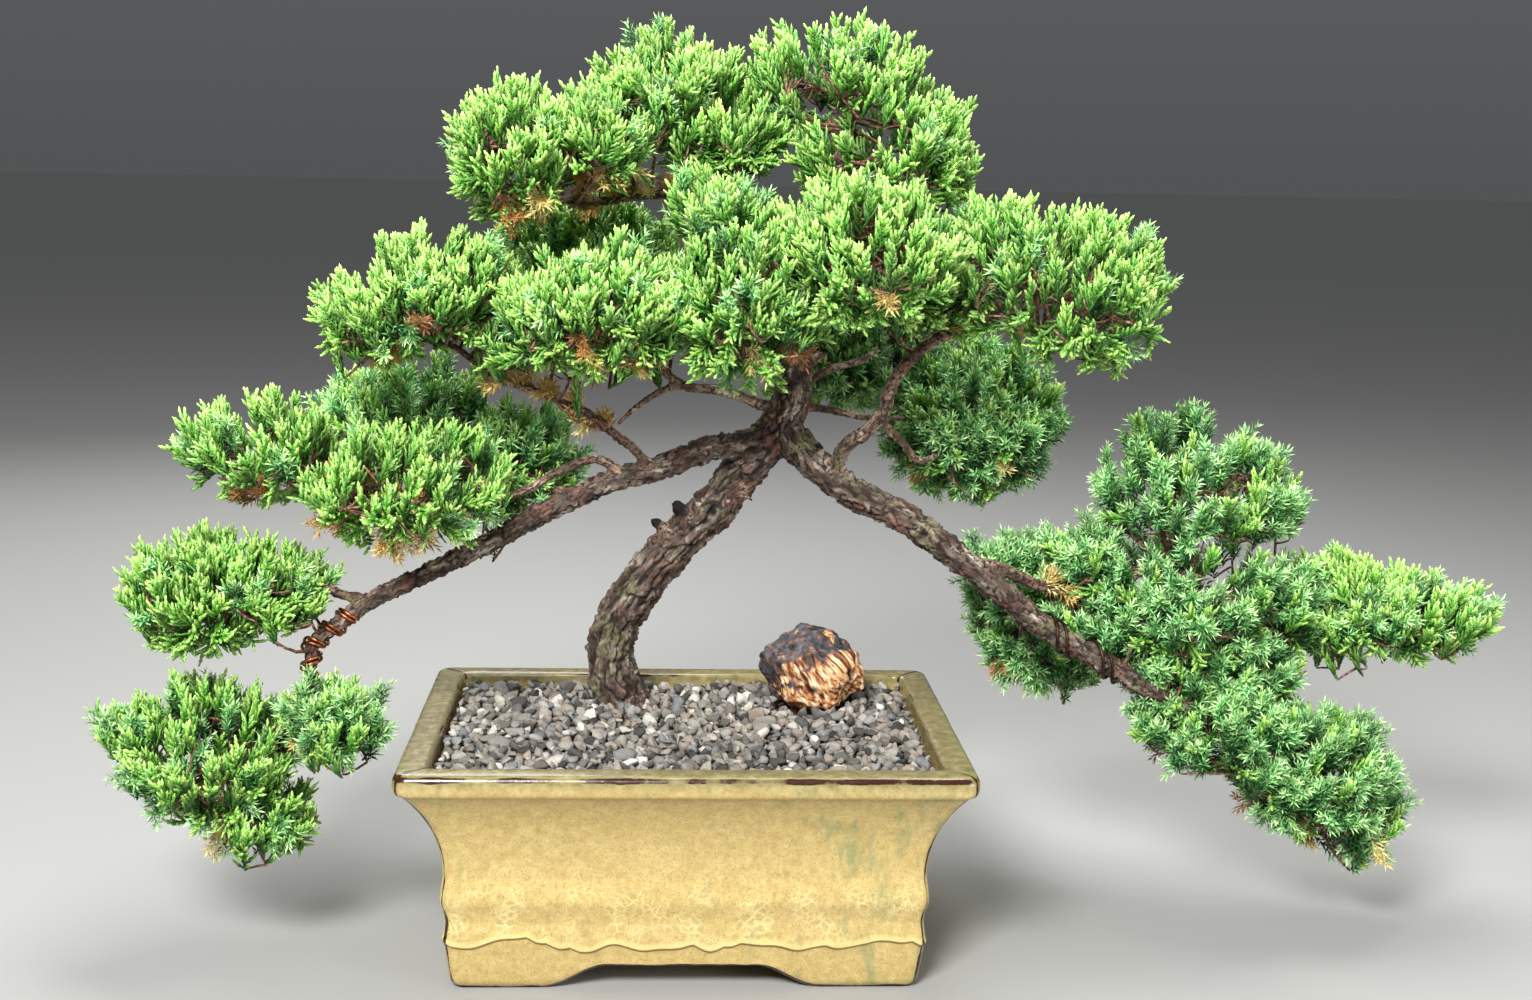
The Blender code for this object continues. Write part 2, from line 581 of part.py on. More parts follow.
def limb(name, route, sides, spacing, room=0.0, finish=None):
    """A tapering round piece of wood with a blunt tip."""
    centres, sizes = smooth_route(route, spacing)
    tangents, frames = frames_along(centres)
    centres.append(centres[-1] + tangents[-1] * (sizes[-1] * 0.6 + room))
    frames.append(frames[-1])
    sizes.append(sizes[-1] * 0.5)
    rings = []
    for centre, size, (side, across) in zip(centres, sizes, frames):
        angles = [math.tau * i / sides for i in range(sides)]
        rings.append([centre + (side * math.cos(a) + across * math.sin(a)) * (size + room)
                      for a in angles])
    return loft(name, rings, finish)


def make_wood(name, room=0.0, finish=None):
    """Trunk, roots, limbs and twigs, grown together as one body."""
    wood = limb(name, TRUNK, 12, 14 * MM, room, finish)
    limbs = {"left_limb": (LEFT_LIMB, 8, 15), "right_limb": (RIGHT_LIMB, 8, 15)}
    limbs.update({branch: (route, 5, 22) for branch, route in BRANCHES.items()})
    limbs.update({f"root_{i}": (route, 5, 26) for i, route in enumerate(ROOTS)})
    for part, (route, sides, spacing) in limbs.items():
        combine(wood, helper(limb(f"{name}_{part}", route, sides, spacing * MM, room)), "UNION")
    return wood


def scaled_half(half):
    return (half[0] * SPREAD_STEP, half[1] * SPREAD_STEP, half[2] * RISE_STEP)


def make_mounds(pad, room=0.0):
    mounds = []
    for i, (centre, half) in enumerate(FOLIAGE[pad][0]):
        name = f"{pad}_mound_{i}" + ("_room" if room else "")
        mounds.append(bumpy_ball(name, grown(*centre), scaled_half(half), MOUND_BUMP,
                                 MOUND_UNDERSIDE, room))
    return mounds


def make_foliage(pad, wood_room, rooms, finish):
    """One pad: its mounds joined, less its neighbours and the wood that carries it."""
    first, *others = make_mounds(pad)
    first.name = pad
    first.data.materials.append(finish)
    for other in others:
        combine(first, helper(other), "UNION")
    for neighbour in FOLIAGE[pad][1]:
        for cutter in rooms[neighbour]:
            combine(first, cutter, "DIFFERENCE")
    combine(first, wood_room, "DIFFERENCE")
    return first


def wound(route, start, end, pitch, wire_radius, lift, turn=0.0):
    """A wire's points, wound round a limb between two distances along it."""
    centres, sizes = smooth_route(route, 3 * MM)
    _, frames = frames_along(centres)
    lengths = [0.0]
    for here, there in zip(centres, centres[1:]):
        lengths.append(lengths[-1] + (there - here).length)
    points = []
    steps = round((end - start) / pitch * WIRE_POINTS_PER_TURN)
    for step in range(steps + 1):
        along = start + (end - start) * step / steps
        i = max(k for k in range(len(lengths) - 1) if lengths[k] <= along)
        t = (along - lengths[i]) / (lengths[i + 1] - lengths[i])
        centre = centres[i].lerp(centres[i + 1], t)
        side, across = frames[i][0].lerp(frames[i + 1][0], t), frames[i][1].lerp(frames[i + 1][1], t)
        size = sizes[i] + (sizes[i + 1] - sizes[i]) * t + wire_radius + lift
        angle = turn + math.tau * (along - start) / pitch
        points.append(centre + (side * math.cos(angle) + across * math.sin(angle)) * size)
    return points


def route_length(route, knots):
    """The length of a limb's smooth route from its foot to the given knot of it."""
    centres, _ = smooth_route(route[:knots + 1], 3 * MM)
    return sum((there - here).length for here, there in zip(centres, centres[1:]))


def make_copper_wires(finish):
    """Two strands side by side, wound round the hanging end of the left limb."""
    start = route_length(LEFT_LIMB, 10) + 9 * MM
    end = route_length(LEFT_LIMB, 16) - 7 * MM
    strand = 2 * COPPER_RADIUS + 2 * CLEARANCE
    for number in (0, 1):
        shift = number * strand
        points = wound(LEFT_LIMB, start + shift, end - strand + shift, COPPER_PITCH, COPPER_RADIUS,
                       2 * CLEARANCE)
        wire_object(f"left_training_wire_{number + 1}", points, COPPER_RADIUS, finish)


def make_dark_wires(finish):
    """Two strands, wound with a long pitch round the right limb. One starts in a curled end."""
    start = route_length(RIGHT_LIMB, 7) - 4 * MM
    end = route_length(RIGHT_LIMB, 9) + 4 * MM
    for number, turn in ((1, 0.0), (2, math.radians(75))):
        points = wound(RIGHT_LIMB, start, end, DARK_WIRE_PITCH, DARK_WIRE_RADIUS, 2 * CLEARANCE, turn)
        if number == 1:
            points = pigtail(points) + points
        wire_object(f"right_training_wire_{number}", points, DARK_WIRE_RADIUS, finish)


def pigtail(points):
    """A small flat curl in line with the wire's first stretch, clear of the limb."""
    ahead = (points[0] - points[1]).normalized()
    down = Vector((0, 0, -1))
    away = (down - ahead * ahead.dot(down)).normalized()
    centre = points[0] + away * PIGTAIL_RADIUS
    curl = []
    for step in range(1, 12):
        angle = math.radians(27 * step)
        radius = PIGTAIL_RADIUS * (1 - 0.03 * step)
        curl.append(centre + (ahead * math.sin(angle) - away * math.cos(angle)) * radius)
    return list(reversed(curl))


def visible_points():
    """Every point of the finished pieces, as their modifiers leave them."""
    bpy.context.view_layer.update()
    graph = bpy.context.evaluated_depsgraph_get()
    points = []
    for obj in bpy.data.objects:
        if not obj.hide_render:
            evaluated = obj.evaluated_get(graph)
            points += [obj.matrix_world @ vertex.co for vertex in evaluated.to_mesh().vertices]
            evaluated.to_mesh_clear()
    return points


def centre_over_origin():
    """Moves the whole group so that its box is centred over the origin, standing on z = 0."""
    points = visible_points()
    middle = [(min(p[i] for p in points) + max(p[i] for p in points)) / 2 for i in (0, 1)]
    shift = Matrix.Translation((-middle[0], -middle[1], 0))
    for obj in bpy.data.objects:
        obj.matrix_world = shift @ obj.matrix_world


def main():
    clear_scene()
    glaze = material("mustard_glaze", (0.55, 0.42, 0.15), 0.22)
    screen_plastic = material("screen_plastic", (0.02, 0.03, 0.02), 0.6)
    steel_wire = material("galvanised_wire", (0.45, 0.46, 0.47), 0.4, 1.0)
    soil_grit = material("soil_grit", (0.12, 0.07, 0.04), 0.95)
    gravel_grit = material("gravel_grit", (0.33, 0.31, 0.29), 0.9)
    petrified = material("banded_stone", (0.55, 0.33, 0.18), 0.7)
    bark = material("juniper_bark", (0.16, 0.11, 0.08), 0.9)
    copper = material("copper_wire", (0.55, 0.23, 0.12), 0.4, 1.0)
    dark_copper = material("tarnished_wire", (0.05, 0.03, 0.02), 0.5, 0.8)
    leaf = material("juniper_foliage", (0.12, 0.32, 0.06), 0.7)

    make_pot(glaze)
    for side, centre in drain_centres().items():
        make_screen(side, centre, screen_plastic)
        make_staple(side, centre, steel_wire)
    soil = make_soil(soil_grit)
    gravel = make_gravel(gravel_grit)
    make_stone("ornamental_stone", finish=petrified)
    combine(gravel, helper(make_stone("stone_room", CLEARANCE)), "DIFFERENCE")

    make_wood("trunk_and_branches", finish=bark)
    wood_room = helper(make_wood("wood_room", CLEARANCE))
    combine(soil, wood_room, "DIFFERENCE")
    combine(gravel, wood_room, "DIFFERENCE")
    make_copper_wires(copper)
    make_dark_wires(dark_copper)

    given_way = {name for _, names in FOLIAGE.values() for name in names}
    rooms = {pad: [helper(m) for m in make_mounds(pad, 2 * CLEARANCE)] for pad in sorted(given_way)}
    for pad in FOLIAGE:
        make_foliage(pad, wood_room, rooms, leaf)
    centre_over_origin()


main()
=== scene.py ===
import math
from functools import partial

import bmesh
import bpy
import numpy as np
from mathutils import Matrix, Vector
from mathutils.kdtree import KDTree


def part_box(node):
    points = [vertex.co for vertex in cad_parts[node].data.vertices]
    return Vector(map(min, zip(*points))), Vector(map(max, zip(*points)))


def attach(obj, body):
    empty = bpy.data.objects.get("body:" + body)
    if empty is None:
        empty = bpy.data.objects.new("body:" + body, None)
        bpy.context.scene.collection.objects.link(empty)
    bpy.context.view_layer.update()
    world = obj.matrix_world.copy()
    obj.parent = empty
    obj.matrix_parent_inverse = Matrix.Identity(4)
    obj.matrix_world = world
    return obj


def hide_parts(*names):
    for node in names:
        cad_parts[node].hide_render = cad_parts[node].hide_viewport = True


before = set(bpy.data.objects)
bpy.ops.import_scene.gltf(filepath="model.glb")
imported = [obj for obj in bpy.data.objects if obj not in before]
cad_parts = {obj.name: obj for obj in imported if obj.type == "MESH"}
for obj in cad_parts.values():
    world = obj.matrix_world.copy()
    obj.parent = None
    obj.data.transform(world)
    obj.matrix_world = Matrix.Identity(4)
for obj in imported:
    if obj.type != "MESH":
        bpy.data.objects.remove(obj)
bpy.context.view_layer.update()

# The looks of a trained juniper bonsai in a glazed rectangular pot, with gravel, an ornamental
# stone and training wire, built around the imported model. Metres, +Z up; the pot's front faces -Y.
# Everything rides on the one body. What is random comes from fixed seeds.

MM = 0.001


def middle_of(node):
    low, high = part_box(node)
    return (low + high) / 2


POT_LOW, POT_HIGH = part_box("pot")
POT_MIDDLE = middle_of("pot")
POT_CENTRE = np.array((POT_MIDDLE.x, POT_MIDDLE.y, 0))
POT_LENGTH, POT_DEPTH, POT_HEIGHT = POT_HIGH - POT_LOW
GRAVEL_LOW, GRAVEL_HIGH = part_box("gravel")
STONE_LOW, STONE_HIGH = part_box("ornamental_stone")

# Camera: where it stands from the pot's middle, and how it is turned.
CAMERA_FROM_POT = (-18.9 * MM, -1101.3 * MM, 434.3 * MM)
CAMERA_YAW = math.radians(3.24)  # to the right of straight ahead
CAMERA_PITCH = math.radians(9.37)  # downwards
CAMERA_ROLL = math.radians(1.16)
CAMERA_LENS = 46.71  # mm, on a 36 mm wide sensor

# Pot profile: insets are measured in from the lip's outer edge.
LIP_THICKNESS = 13 * MM
LIP_OVERHANG = 3.8 * MM
RIM_WIDTH = 17 * MM
# The lip's underside, rounded nose, top and inner edge: (inset, height from the pot's top) in mm,
# and how far the glaze broke there.
LIP_PROFILE = [
    (2.9, -12.4, 0), (2.0, -11.9, 0), (1.2, -11.2, 0.1), (0.6, -10.2, 0.2), (0.25, -9.2, 0.25),
    (0.05, -8.0, 0.1), (0.0, -6.6, 0), (0.05, -5.2, 0.05), (0.15, -4.0, 0.36),
    (0.35, -3.1, 0.55), (0.7, -2.2, 0.59), (1.2, -1.4, 0.59), (1.9, -0.7, 0.5),
    (2.7, -0.25, 0.3), (3.6, -0.05, 0.1), (4.6, 0, 0), (7.0, 0.1, 0), (10.0, 0.1, 0),
    (13.0, 0.05, 0), (14.6, 0, 0.1), (15.6, -0.2, 0.3), (16.3, -0.6, 0.45), (16.8, -1.2, 0.5),
    (17.0, -2.0, 0.4), (17.1, -3.2, 0.15)]
WALL = 9 * MM
WAIST_HEIGHT = 62 * MM
WAIST_INSET = 23.4 * MM
FLARE = 2.2
FOOT_PROFILE = [(28, 0), (26.5, 4), (24.9, 14), (24.2, 20), (23.2, 27), (23.6, 32), (24.4, 38),
                (23.6, 43), (21.8, 49), (22.2, 55), (23.4, 62)]  # (inset, height) in mm
BEAD_HEIGHT = 43 * MM
ARCH_HEIGHT = 13 * MM
ARCH_LEFT, ARCH_RIGHT = -58 * MM, 54 * MM  # on a long side
ARCH_HALF_DEPTH = 37 * MM  # on a short side
FOOT_CURL = 36 * MM  # how far a foot's end takes to rise into the arch
FOOT_THICKNESS = 16 * MM
FLOOR_THICKNESS = 9 * MM
DRAIN_RADIUS = 12 * MM
DRAIN_SPACING = 130 * MM
POT_CORNER = 8 * MM

# Each piece of wood is a route of (x, y, z, radius) in millimetres, x and y from the pot's middle.
TRUNK = [
    (-34, 58, 92, 19), (-36, 57, 112, 18.5), (-38, 56, 123, 16.5), (-43, 55, 138, 13.8),
    (-45, 54, 150, 12.8), (-43, 52, 162, 12.4), (-35, 48, 181, 12.2), (-21, 43, 203, 12.4),
    (-5, 38, 222, 12.6), (16, 32, 244, 11.8), (32, 27, 266, 11.4), (48, 23, 286, 12.4),
    (58, 20, 307, 11.2), (61, 17, 335, 8), (63, 14, 364, 6.6), (66, 12, 392, 5.6),
    (75, 14, 422, 4.6), (84, 18, 450, 3.6), (91, 20, 474, 2.4),
]
LEFT_LIMB = [
    (52, 22, 287, 8), (29, 18, 281, 7.6), (11, 15, 279, 7), (-12, 9, 270, 6.6),
    (-39, 3, 263, 6.4), (-65, -3, 252, 6.2), (-88, -9, 241, 5.9), (-110, -14, 229, 5.6),
    (-133, -18, 218, 5.3), (-156, -22, 207, 5), (-176, -25, 197, 4.8), (-188, -27, 188, 4.4),
    (-199, -30, 180, 4.1), (-205, -32, 174, 3.9), (-205, -34, 166, 3.8), (-206, -36, 157, 3.6),
    (-209, -38, 146, 3.4), (-222, -40, 129, 3), (-254, -38, 108, 1.8),
]
RIGHT_LIMB = [
    (55, 20, 290, 9.4), (69, 16, 274, 9.2), (88, 10, 259, 8.9), (106, 5, 250, 8.6),
    (122, 0, 243, 8.3), (145, -7, 227, 7.9), (169, -13, 210, 7.3), (194, -17, 189, 6.8),
    (220, -19, 173, 6.3), (246, -18, 158, 5.7), (266, -15, 146, 5), (293, -8, 133, 3.8),
    (334, 0, 109, 2.6), (376, 4, 82, 1.6),
]
BRANCHES = {
    "left_tip_twig": [(-173, -24, 198, 3), (-190, -27, 202, 2.8), (-203, -28, 208, 2.5),
                      (-228, -27, 204, 2.1), (-262, -22, 198, 1.4)],
    "left_spur": [(-208, -37, 149, 2.4), (-199, -48, 140, 2.1), (-184, -56, 137, 1.3)],
    "left_middle_twig": [(-36, 3, 264, 3), (-47, 0, 273, 2.7), (-57, -4, 274, 2.6),
                         (-74, -10, 268, 2.5), (-93, -18, 258, 2.4), (-125, -26, 253, 2.2),
                         (-157, -30, 259, 2), (-200, -28, 270, 1.8), (-228, -24, 275, 1.3)],
    "left_back_twig": [(-54, 0, 255, 2.6), (-73, 20, 253, 2.4), (-97, 42, 257, 2.2),
                       (-130, 48, 274, 2), (-165, 50, 288, 1.3)],
    "left_upper_twig": [(-20, 5, 267, 3), (-30, 2, 279, 2.8), (-42, -2, 289, 2.7),
                        (-57, -6, 301, 2.5), (-74, -10, 309, 2.4), (-104, -16, 321, 2.2),
                        (-130, -20, 339, 1.9), (-155, -22, 354, 1.3)],
    "front_twig": [(54, 22, 298, 3.6), (41, 18, 304, 3.2), (18, 6, 313, 2.9),
                   (-6, -8, 318, 2.6), (-25, -28, 338, 2.2), (-46, -45, 354, 1.4)],
    "bare_spur": [(-3, -6, 317, 2.2), (-15, -12, 315, 2), (-30, -20, 306, 1.7),
                  (-40, -24, 297, 1.2)],
    "centre_twig": [(61, 17, 328, 3.4), (48, 0, 345, 2.7), (31, -28, 361, 2.2),
                    (16, -22, 394, 1.3)],
    "left_rear_branch": [(62, 17, 348, 3.4), (23, 48, 362, 2.6), (-41, 80, 378, 1.4)],
    "top_left_branch": [(65, 13, 383, 4.2), (49, 18, 404, 3.8), (29, 24, 418, 3.4),
                        (4, 26, 422, 3.1), (-29, 20, 420, 2.8), (-56, 10, 416, 2.5),
                        (-81, 2, 420, 2.1), (-98, 0, 434, 1.4)],
    "top_middle_twig": [(31, 23, 417, 2.6), (20, 27, 436, 2.2), (-4, 30, 468, 1.3)],
    "front_right_twig": [(62, 15, 352, 3.6), (78, -18, 372, 2.7), (92, -48, 386, 1.4)],
    "rear_branch": [(60, 18, 318, 4), (74, 60, 327, 3), (99, 108, 331, 1.6)],
    "right_upright": [(82, 11, 262, 4.4), (87, 6, 281, 4.2), (98, 0, 291, 4.1),
                      (106, -6, 300, 4), (109, -9, 308, 3.8), (110, -12, 317, 3.6),
                      (120, -18, 334, 3.3), (135, -24, 346, 3), (167, -28, 360, 2.4),
                      (200, -28, 368, 1.5)],
    "right_rear_twig": [(106, -6, 300, 2.6), (122, 10, 283, 2.2), (135, 30, 271, 2),
                        (155, 60, 277, 1.8), (175, 88, 285, 1.2)],
    "rear_twig": [(60, 18, 314, 2.8), (80, 26, 324, 2.3), (100, 42, 328, 2), (112, 74, 332, 1.2)],
    "low_rear_twig": [(60, 20, 304, 2.8), (80, 24, 301, 2.3), (104, 38, 295, 2),
                      (140, 72, 291, 1.2)],
    "far_right_branch": [(158, -10, 218, 4), (176, -8, 216, 3.7), (197, 0, 206, 3.4),
                         (227, 12, 198, 3), (262, 24, 206, 2.5), (292, 34, 230, 1.5)],
    "far_right_tip_twig": [(236, 15, 199, 2.6), (302, 26, 186, 2.2), (363, 28, 181, 1.8),
                           (430, 26, 180, 1.2)],
    "right_under_twig": [(165, -12, 212, 3), (182, 16, 204, 2.4), (200, 44, 186, 2),
                         (224, 64, 162, 1.2)],
}
ROOTS = [
    [(-36, 57, 114, 10), (-62, 51, 112, 6), (-84, 46, 108, 2.5)],
    [(-36, 57, 114, 10), (-22, 36, 112, 6), (-8, 14, 106, 2.5)],
    [(-36, 57, 116, 10), (-12, 60, 115, 7), (10, 64, 110, 2.5)],
    [(-36, 57, 114, 9), (-46, 76, 112, 5.5), (-54, 90, 106, 2.5)],
]
# Short cut stubs on the trunk: (x, y, z) of the foot, the way it points, and its radius, in mm.
STUBS = [((2, 34, 236), (-0.75, -0.25, 0.6), 4.4), ((-10, 36, 226), (-0.8, 0.1, 0.6), 3.4),
         ((27, 22, 254), (0.8, -0.45, -0.4), 1.2)]
STUB_LENGTH = 12  # mm, from the middle of the wood
# Scars where branches were taken off: (x, y, z) on the bark and radius, in mm.
SCARS = [((35, 12, 279), 3.4), ((33, 13, 264), 2.6), ((14, 22, 242), 4.2), ((-30, 42, 178), 3.6),
         ((96, -3, 262), 3.8), ((132, -11, 236), 3.4), ((62, 8, 292), 3.6), ((-32, 39, 135), 3.0)]
BARK_VOXEL = 1.1 * MM

# Hollows in the ornamental stone, as directions from its middle, and their size for a radius of 1.
STONE_HOLLOWS = [((-0.10, -0.90, 0.35), 0.15), ((0.78, -0.58, -0.05), 0.20),
                 ((0.15, -0.80, 0.55), 0.10), ((0.50, -0.55, 0.62), 0.11),
                 ((-0.45, -0.60, 0.62), 0.09), ((-0.85, 0.10, -0.30), 0.20)]

COPPER_RADIUS = 0.9 * MM
COPPER_PITCH = 11.5 * MM
DARK_WIRE_RADIUS = 0.9 * MM
DARK_WIRE_PITCH = 30 * MM
PIGTAIL_RADIUS = 4 * MM
WIRE_GAP = 0.3 * MM


def colour(code):
    """An sRGB hex code as linear red, green, blue and alpha."""
    parts = [int(code[i:i + 2], 16) / 255 for i in (1, 3, 5)]
    linear = [c / 12.92 if c <= 0.04045 else ((c + 0.055) / 1.055) ** 2.4 for c in parts]
    return (*linear, 1.0)


# ---------------------------------------------------------------- numbers and noise

GRADIENTS = np.array([
    (1, 1, 0), (-1, 1, 0), (1, -1, 0), (-1, -1, 0), (1, 0, 1), (-1, 0, 1),
    (1, 0, -1), (-1, 0, -1), (0, 1, 1), (0, -1, 1), (0, 1, -1), (0, -1, -1)], float)
HASH_FACTORS = 374761393, 668265263, 1442695041, 974634777, 1274126177  # large odd numbers


def noise(points, seed=0):
    """Smooth noise from about -1 to 1 at each row of points, one unit from bump to bump."""
    cell = np.floor(points).astype(np.int64)
    within = points - cell
    fade = within ** 3 * (within * (within * 6 - 15) + 10)
    total = np.zeros(len(points))
    for corner in np.ndindex(2, 2, 2):
        at = cell + corner
        mixed = (at @ HASH_FACTORS[:3] + seed * HASH_FACTORS[3]) & 0xFFFFFFFF
        mixed = ((mixed ^ (mixed >> 13)) * HASH_FACTORS[4]) & 0xFFFFFFFF
        slope = GRADIENTS[(mixed ^ (mixed >> 16)) % 12]
        share = np.prod(np.where(corner, fade, 1 - fade), axis=1)
        total += share * np.einsum("ij,ij->i", slope, within - corner)
    return total


def layered_noise(points, layers, seed=0):
    """Noise with finer and weaker noise added to it, layer by layer."""
    return sum(noise(points * 2 ** i, seed + i) / 2 ** i for i in range(layers))


def smooth_step(value, low, high):
    share = np.clip((value - low) / (high - low), 0, 1)
    return share * share * (3 - 2 * share)


def unit(vectors):
    return vectors / np.maximum(np.linalg.norm(vectors, axis=-1, keepdims=True), 1e-12)


# ---------------------------------------------------------------- meshes

def make_piece(name, points, faces, finishes, finish_of_face=None, smooth=True):
    """An object from points and arrays of faces, each array of one number of corners."""
    faces = [f for f in (faces if isinstance(faces, list) else [faces]) if len(f)]
    mesh = bpy.data.meshes.new(name)
    mesh.vertices.add(len(points))
    mesh.vertices.foreach_set("co", np.asarray(points, np.float32).ravel())
    corners = np.concatenate([f.ravel() for f in faces]).astype(np.int32)
    counts = np.concatenate([np.full(len(f), f.shape[1]) for f in faces])
    mesh.loops.add(len(corners))
    mesh.loops.foreach_set("vertex_index", corners)
    mesh.polygons.add(len(counts))
    starts = np.concatenate([[0], np.cumsum(counts)[:-1]]).astype(np.int32)
    mesh.polygons.foreach_set("loop_start", starts)
    for finish in finishes:
        mesh.materials.append(finish)
    if finish_of_face is not None:
        mesh.polygons.foreach_set("material_index", finish_of_face.astype(np.int32))
    mesh.update(calc_edges=True)
    mesh.validate()
    if smooth:
        mesh.shade_smooth()
    obj = bpy.data.objects.new(name, mesh)
    bpy.context.scene.collection.objects.link(obj)
    return obj


def give_numbers(obj, name, values):
    """Keeps a number, or a vector, at each point for the material to read."""
    kind = "FLOAT" if values.ndim == 1 else "FLOAT_VECTOR"
    layer = obj.data.attributes.new(name, kind, "POINT")
    layer.data.foreach_set("value" if kind == "FLOAT" else "vector",
                           values.astype(np.float32).ravel())


def read_vectors(mesh, what):
    """A vector of each point of a mesh, such as its place or its normal."""
    values = np.empty(len(mesh.vertices) * 3, np.float32)
    mesh.vertices.foreach_get(what, values)
    return values.reshape(-1, 3).astype(float)


def read_triangles(mesh):
    mesh.calc_loop_triangles()
    corners = np.empty(len(mesh.loop_triangles) * 3, np.int32)
    mesh.loop_triangles.foreach_get("vertices", corners)
    return corners.reshape(-1, 3)


def stand_for(piece, node):
    """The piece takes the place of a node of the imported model."""
    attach(piece, "root")
    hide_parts(node)


def grid_quads(rows, columns):
    """Quads between rows of points, each row closed on itself."""
    i, j = np.meshgrid(np.arange(rows - 1), np.arange(columns), indexing="ij")
    a = i * columns + j
    b = i * columns + (j + 1) % columns
    return np.stack([a, b, b + columns, a + columns], axis=-1).reshape(-1, 4)


def repeated(pattern, count, points):
    """The triangles of many like shapes, each with this many points."""
    return (np.arange(count)[:, None, None] * points + np.asarray(pattern)).reshape(-1, 3)


def smooth_route(route, step):
    """Centres, radii and distances at small steps along a smooth curve through a route."""
    rows = np.array(route, float) * MM
    knots = rows[:, :3] + POT_CENTRE
    knots = np.vstack([2 * knots[0] - knots[1], knots, 2 * knots[-1] - knots[-2]])
    centres, radii = [], []
    for i in range(len(rows) - 1):
        before, start, end, after = knots[i:i + 4]
        steps = max(1, round(float(np.linalg.norm(end - start)) / step))
        t = (np.arange(steps) / steps)[:, None]
        centres.append(0.5 * (2 * start + (end - before) * t
                              + (2 * before - 5 * start + 4 * end - after) * t ** 2
                              + (3 * start - before - 3 * end + after) * t ** 3))
        radii.append(rows[i, 3] + (rows[i + 1, 3] - rows[i, 3]) * t[:, 0])
    centres = np.vstack(centres + [knots[-2][None]])
    radii = np.append(np.concatenate(radii), rows[-1, 3])
    lengths = np.concatenate([[0], np.cumsum(np.linalg.norm(np.diff(centres, axis=0), axis=1))])
    return centres, radii, lengths


def frames_along(centres):
    """The direction along the route, and two across it that turn as little as they can."""
    ahead = unit(np.vstack([centres[1:2] - centres[:1], centres[2:] - centres[:-2],
                            centres[-1:] - centres[-2:-1]]))
    side = np.array(Vector(ahead[0]).orthogonal().normalized())
    sides = []
    for direction in ahead:
        side = unit(side - direction * side.dot(direction))
        sides.append(side)
    sides = np.array(sides)
    return ahead, sides, np.cross(ahead, sides)


def tube(centres, radii, corners):
    """Points and triangles of a closed round tube with pointed ends."""
    ahead, side, across = frames_along(centres)
    turn = np.arange(corners) * math.tau / corners
    ring = (side[:, None] * np.cos(turn)[None, :, None]
            + across[:, None] * np.sin(turn)[None, :, None])
    points = (centres[:, None] + ring * radii[:, None, None]).reshape(-1, 3)
    quads = grid_quads(len(centres), corners)
    triangles = np.concatenate([quads[:, [0, 1, 2]], quads[:, [0, 2, 3]]])
    last = len(points)
    points = np.vstack([points, centres[:1] - ahead[:1] * radii[0] * 0.5,
                        centres[-1:] + ahead[-1:] * radii[-1] * 0.8])
    j = np.arange(corners)
    k = (j + 1) % corners
    foot = np.stack([k, j, np.full(corners, last)], axis=1)
    end = last - corners
    tip = np.stack([end + j, end + k, np.full(corners, last + 1)], axis=1)
    return points, np.concatenate([triangles, foot, tip])


class Heap:
    """Points and triangles gathered from many small shapes, each with the number of its finish
    and, for each point, the two numbers that its finish reads."""

    def __init__(self):
        self.points, self.triangles, self.finishes, self.tones = [], [], [], []
        self.count = 0

    def put(self, points, triangles, finish=0, tones=(0.5, 0.5)):
        self.points.append(points)
        self.triangles.append(triangles + self.count)
        self.finishes.append(np.full(len(triangles), finish))
        self.tones.append(np.broadcast_to(tones, (len(points), 2)))
        self.count += len(points)

    def all(self):
        return np.vstack(self.points), np.vstack(self.triangles)


# ---------------------------------------------------------------- materials

def add_node(tree, kind, *inputs, stops=None, output=0, **named):
    """Adds a node and gives back one output of it, or a list of them. Its inputs are linked or
    filled in their order, or by name with _ for a space. A name in lower case is a setting."""
    node = tree.nodes.new("ShaderNode" + kind)
    filled = dict(enumerate(inputs))
    for key, value in named.items():
        if key[0].islower():
            setattr(node, key, value)
        else:
            filled[key.replace("_", " ")] = value
    for key, value in filled.items():
        if isinstance(value, bpy.types.NodeSocket):
            tree.links.new(value, node.inputs[key])
        else:
            node.inputs[key].default_value = value
    if stops:
        ramp = node.color_ramp.elements
        while len(ramp) < len(stops):
            ramp.new(1.0)
        for element, (place, code) in zip(ramp, stops):
            element.position, element.color = place, colour(code)
    return [node.outputs[o] for o in output] if isinstance(output, tuple) else node.outputs[output]


def feed_shader(tree, shader, **sockets):
    """Links the outputs of nodes to a shader's inputs, named with _ for each space."""
    for key, socket in sockets.items():
        tree.links.new(socket, shader.inputs[key.replace("_", " ")])


def new_material(name, roughness, metallic=0.0, ior=None):
    """A material with only its shader. Returns it, what adds a node to it, and what links
    outputs to its shader."""
    made = bpy.data.materials.new(name)
    made.use_nodes = True
    tree = made.node_tree
    shader = tree.nodes["Principled BSDF"]
    shader.inputs["Roughness"].default_value = roughness
    shader.inputs["Metallic"].default_value = metallic
    if ior:
        shader.inputs["IOR"].default_value = ior
    return made, partial(add_node, tree), partial(feed_shader, tree, shader)


def per_metre(size):
    """A texture's scale for a pattern that repeats at this real size."""
    return 1 / size


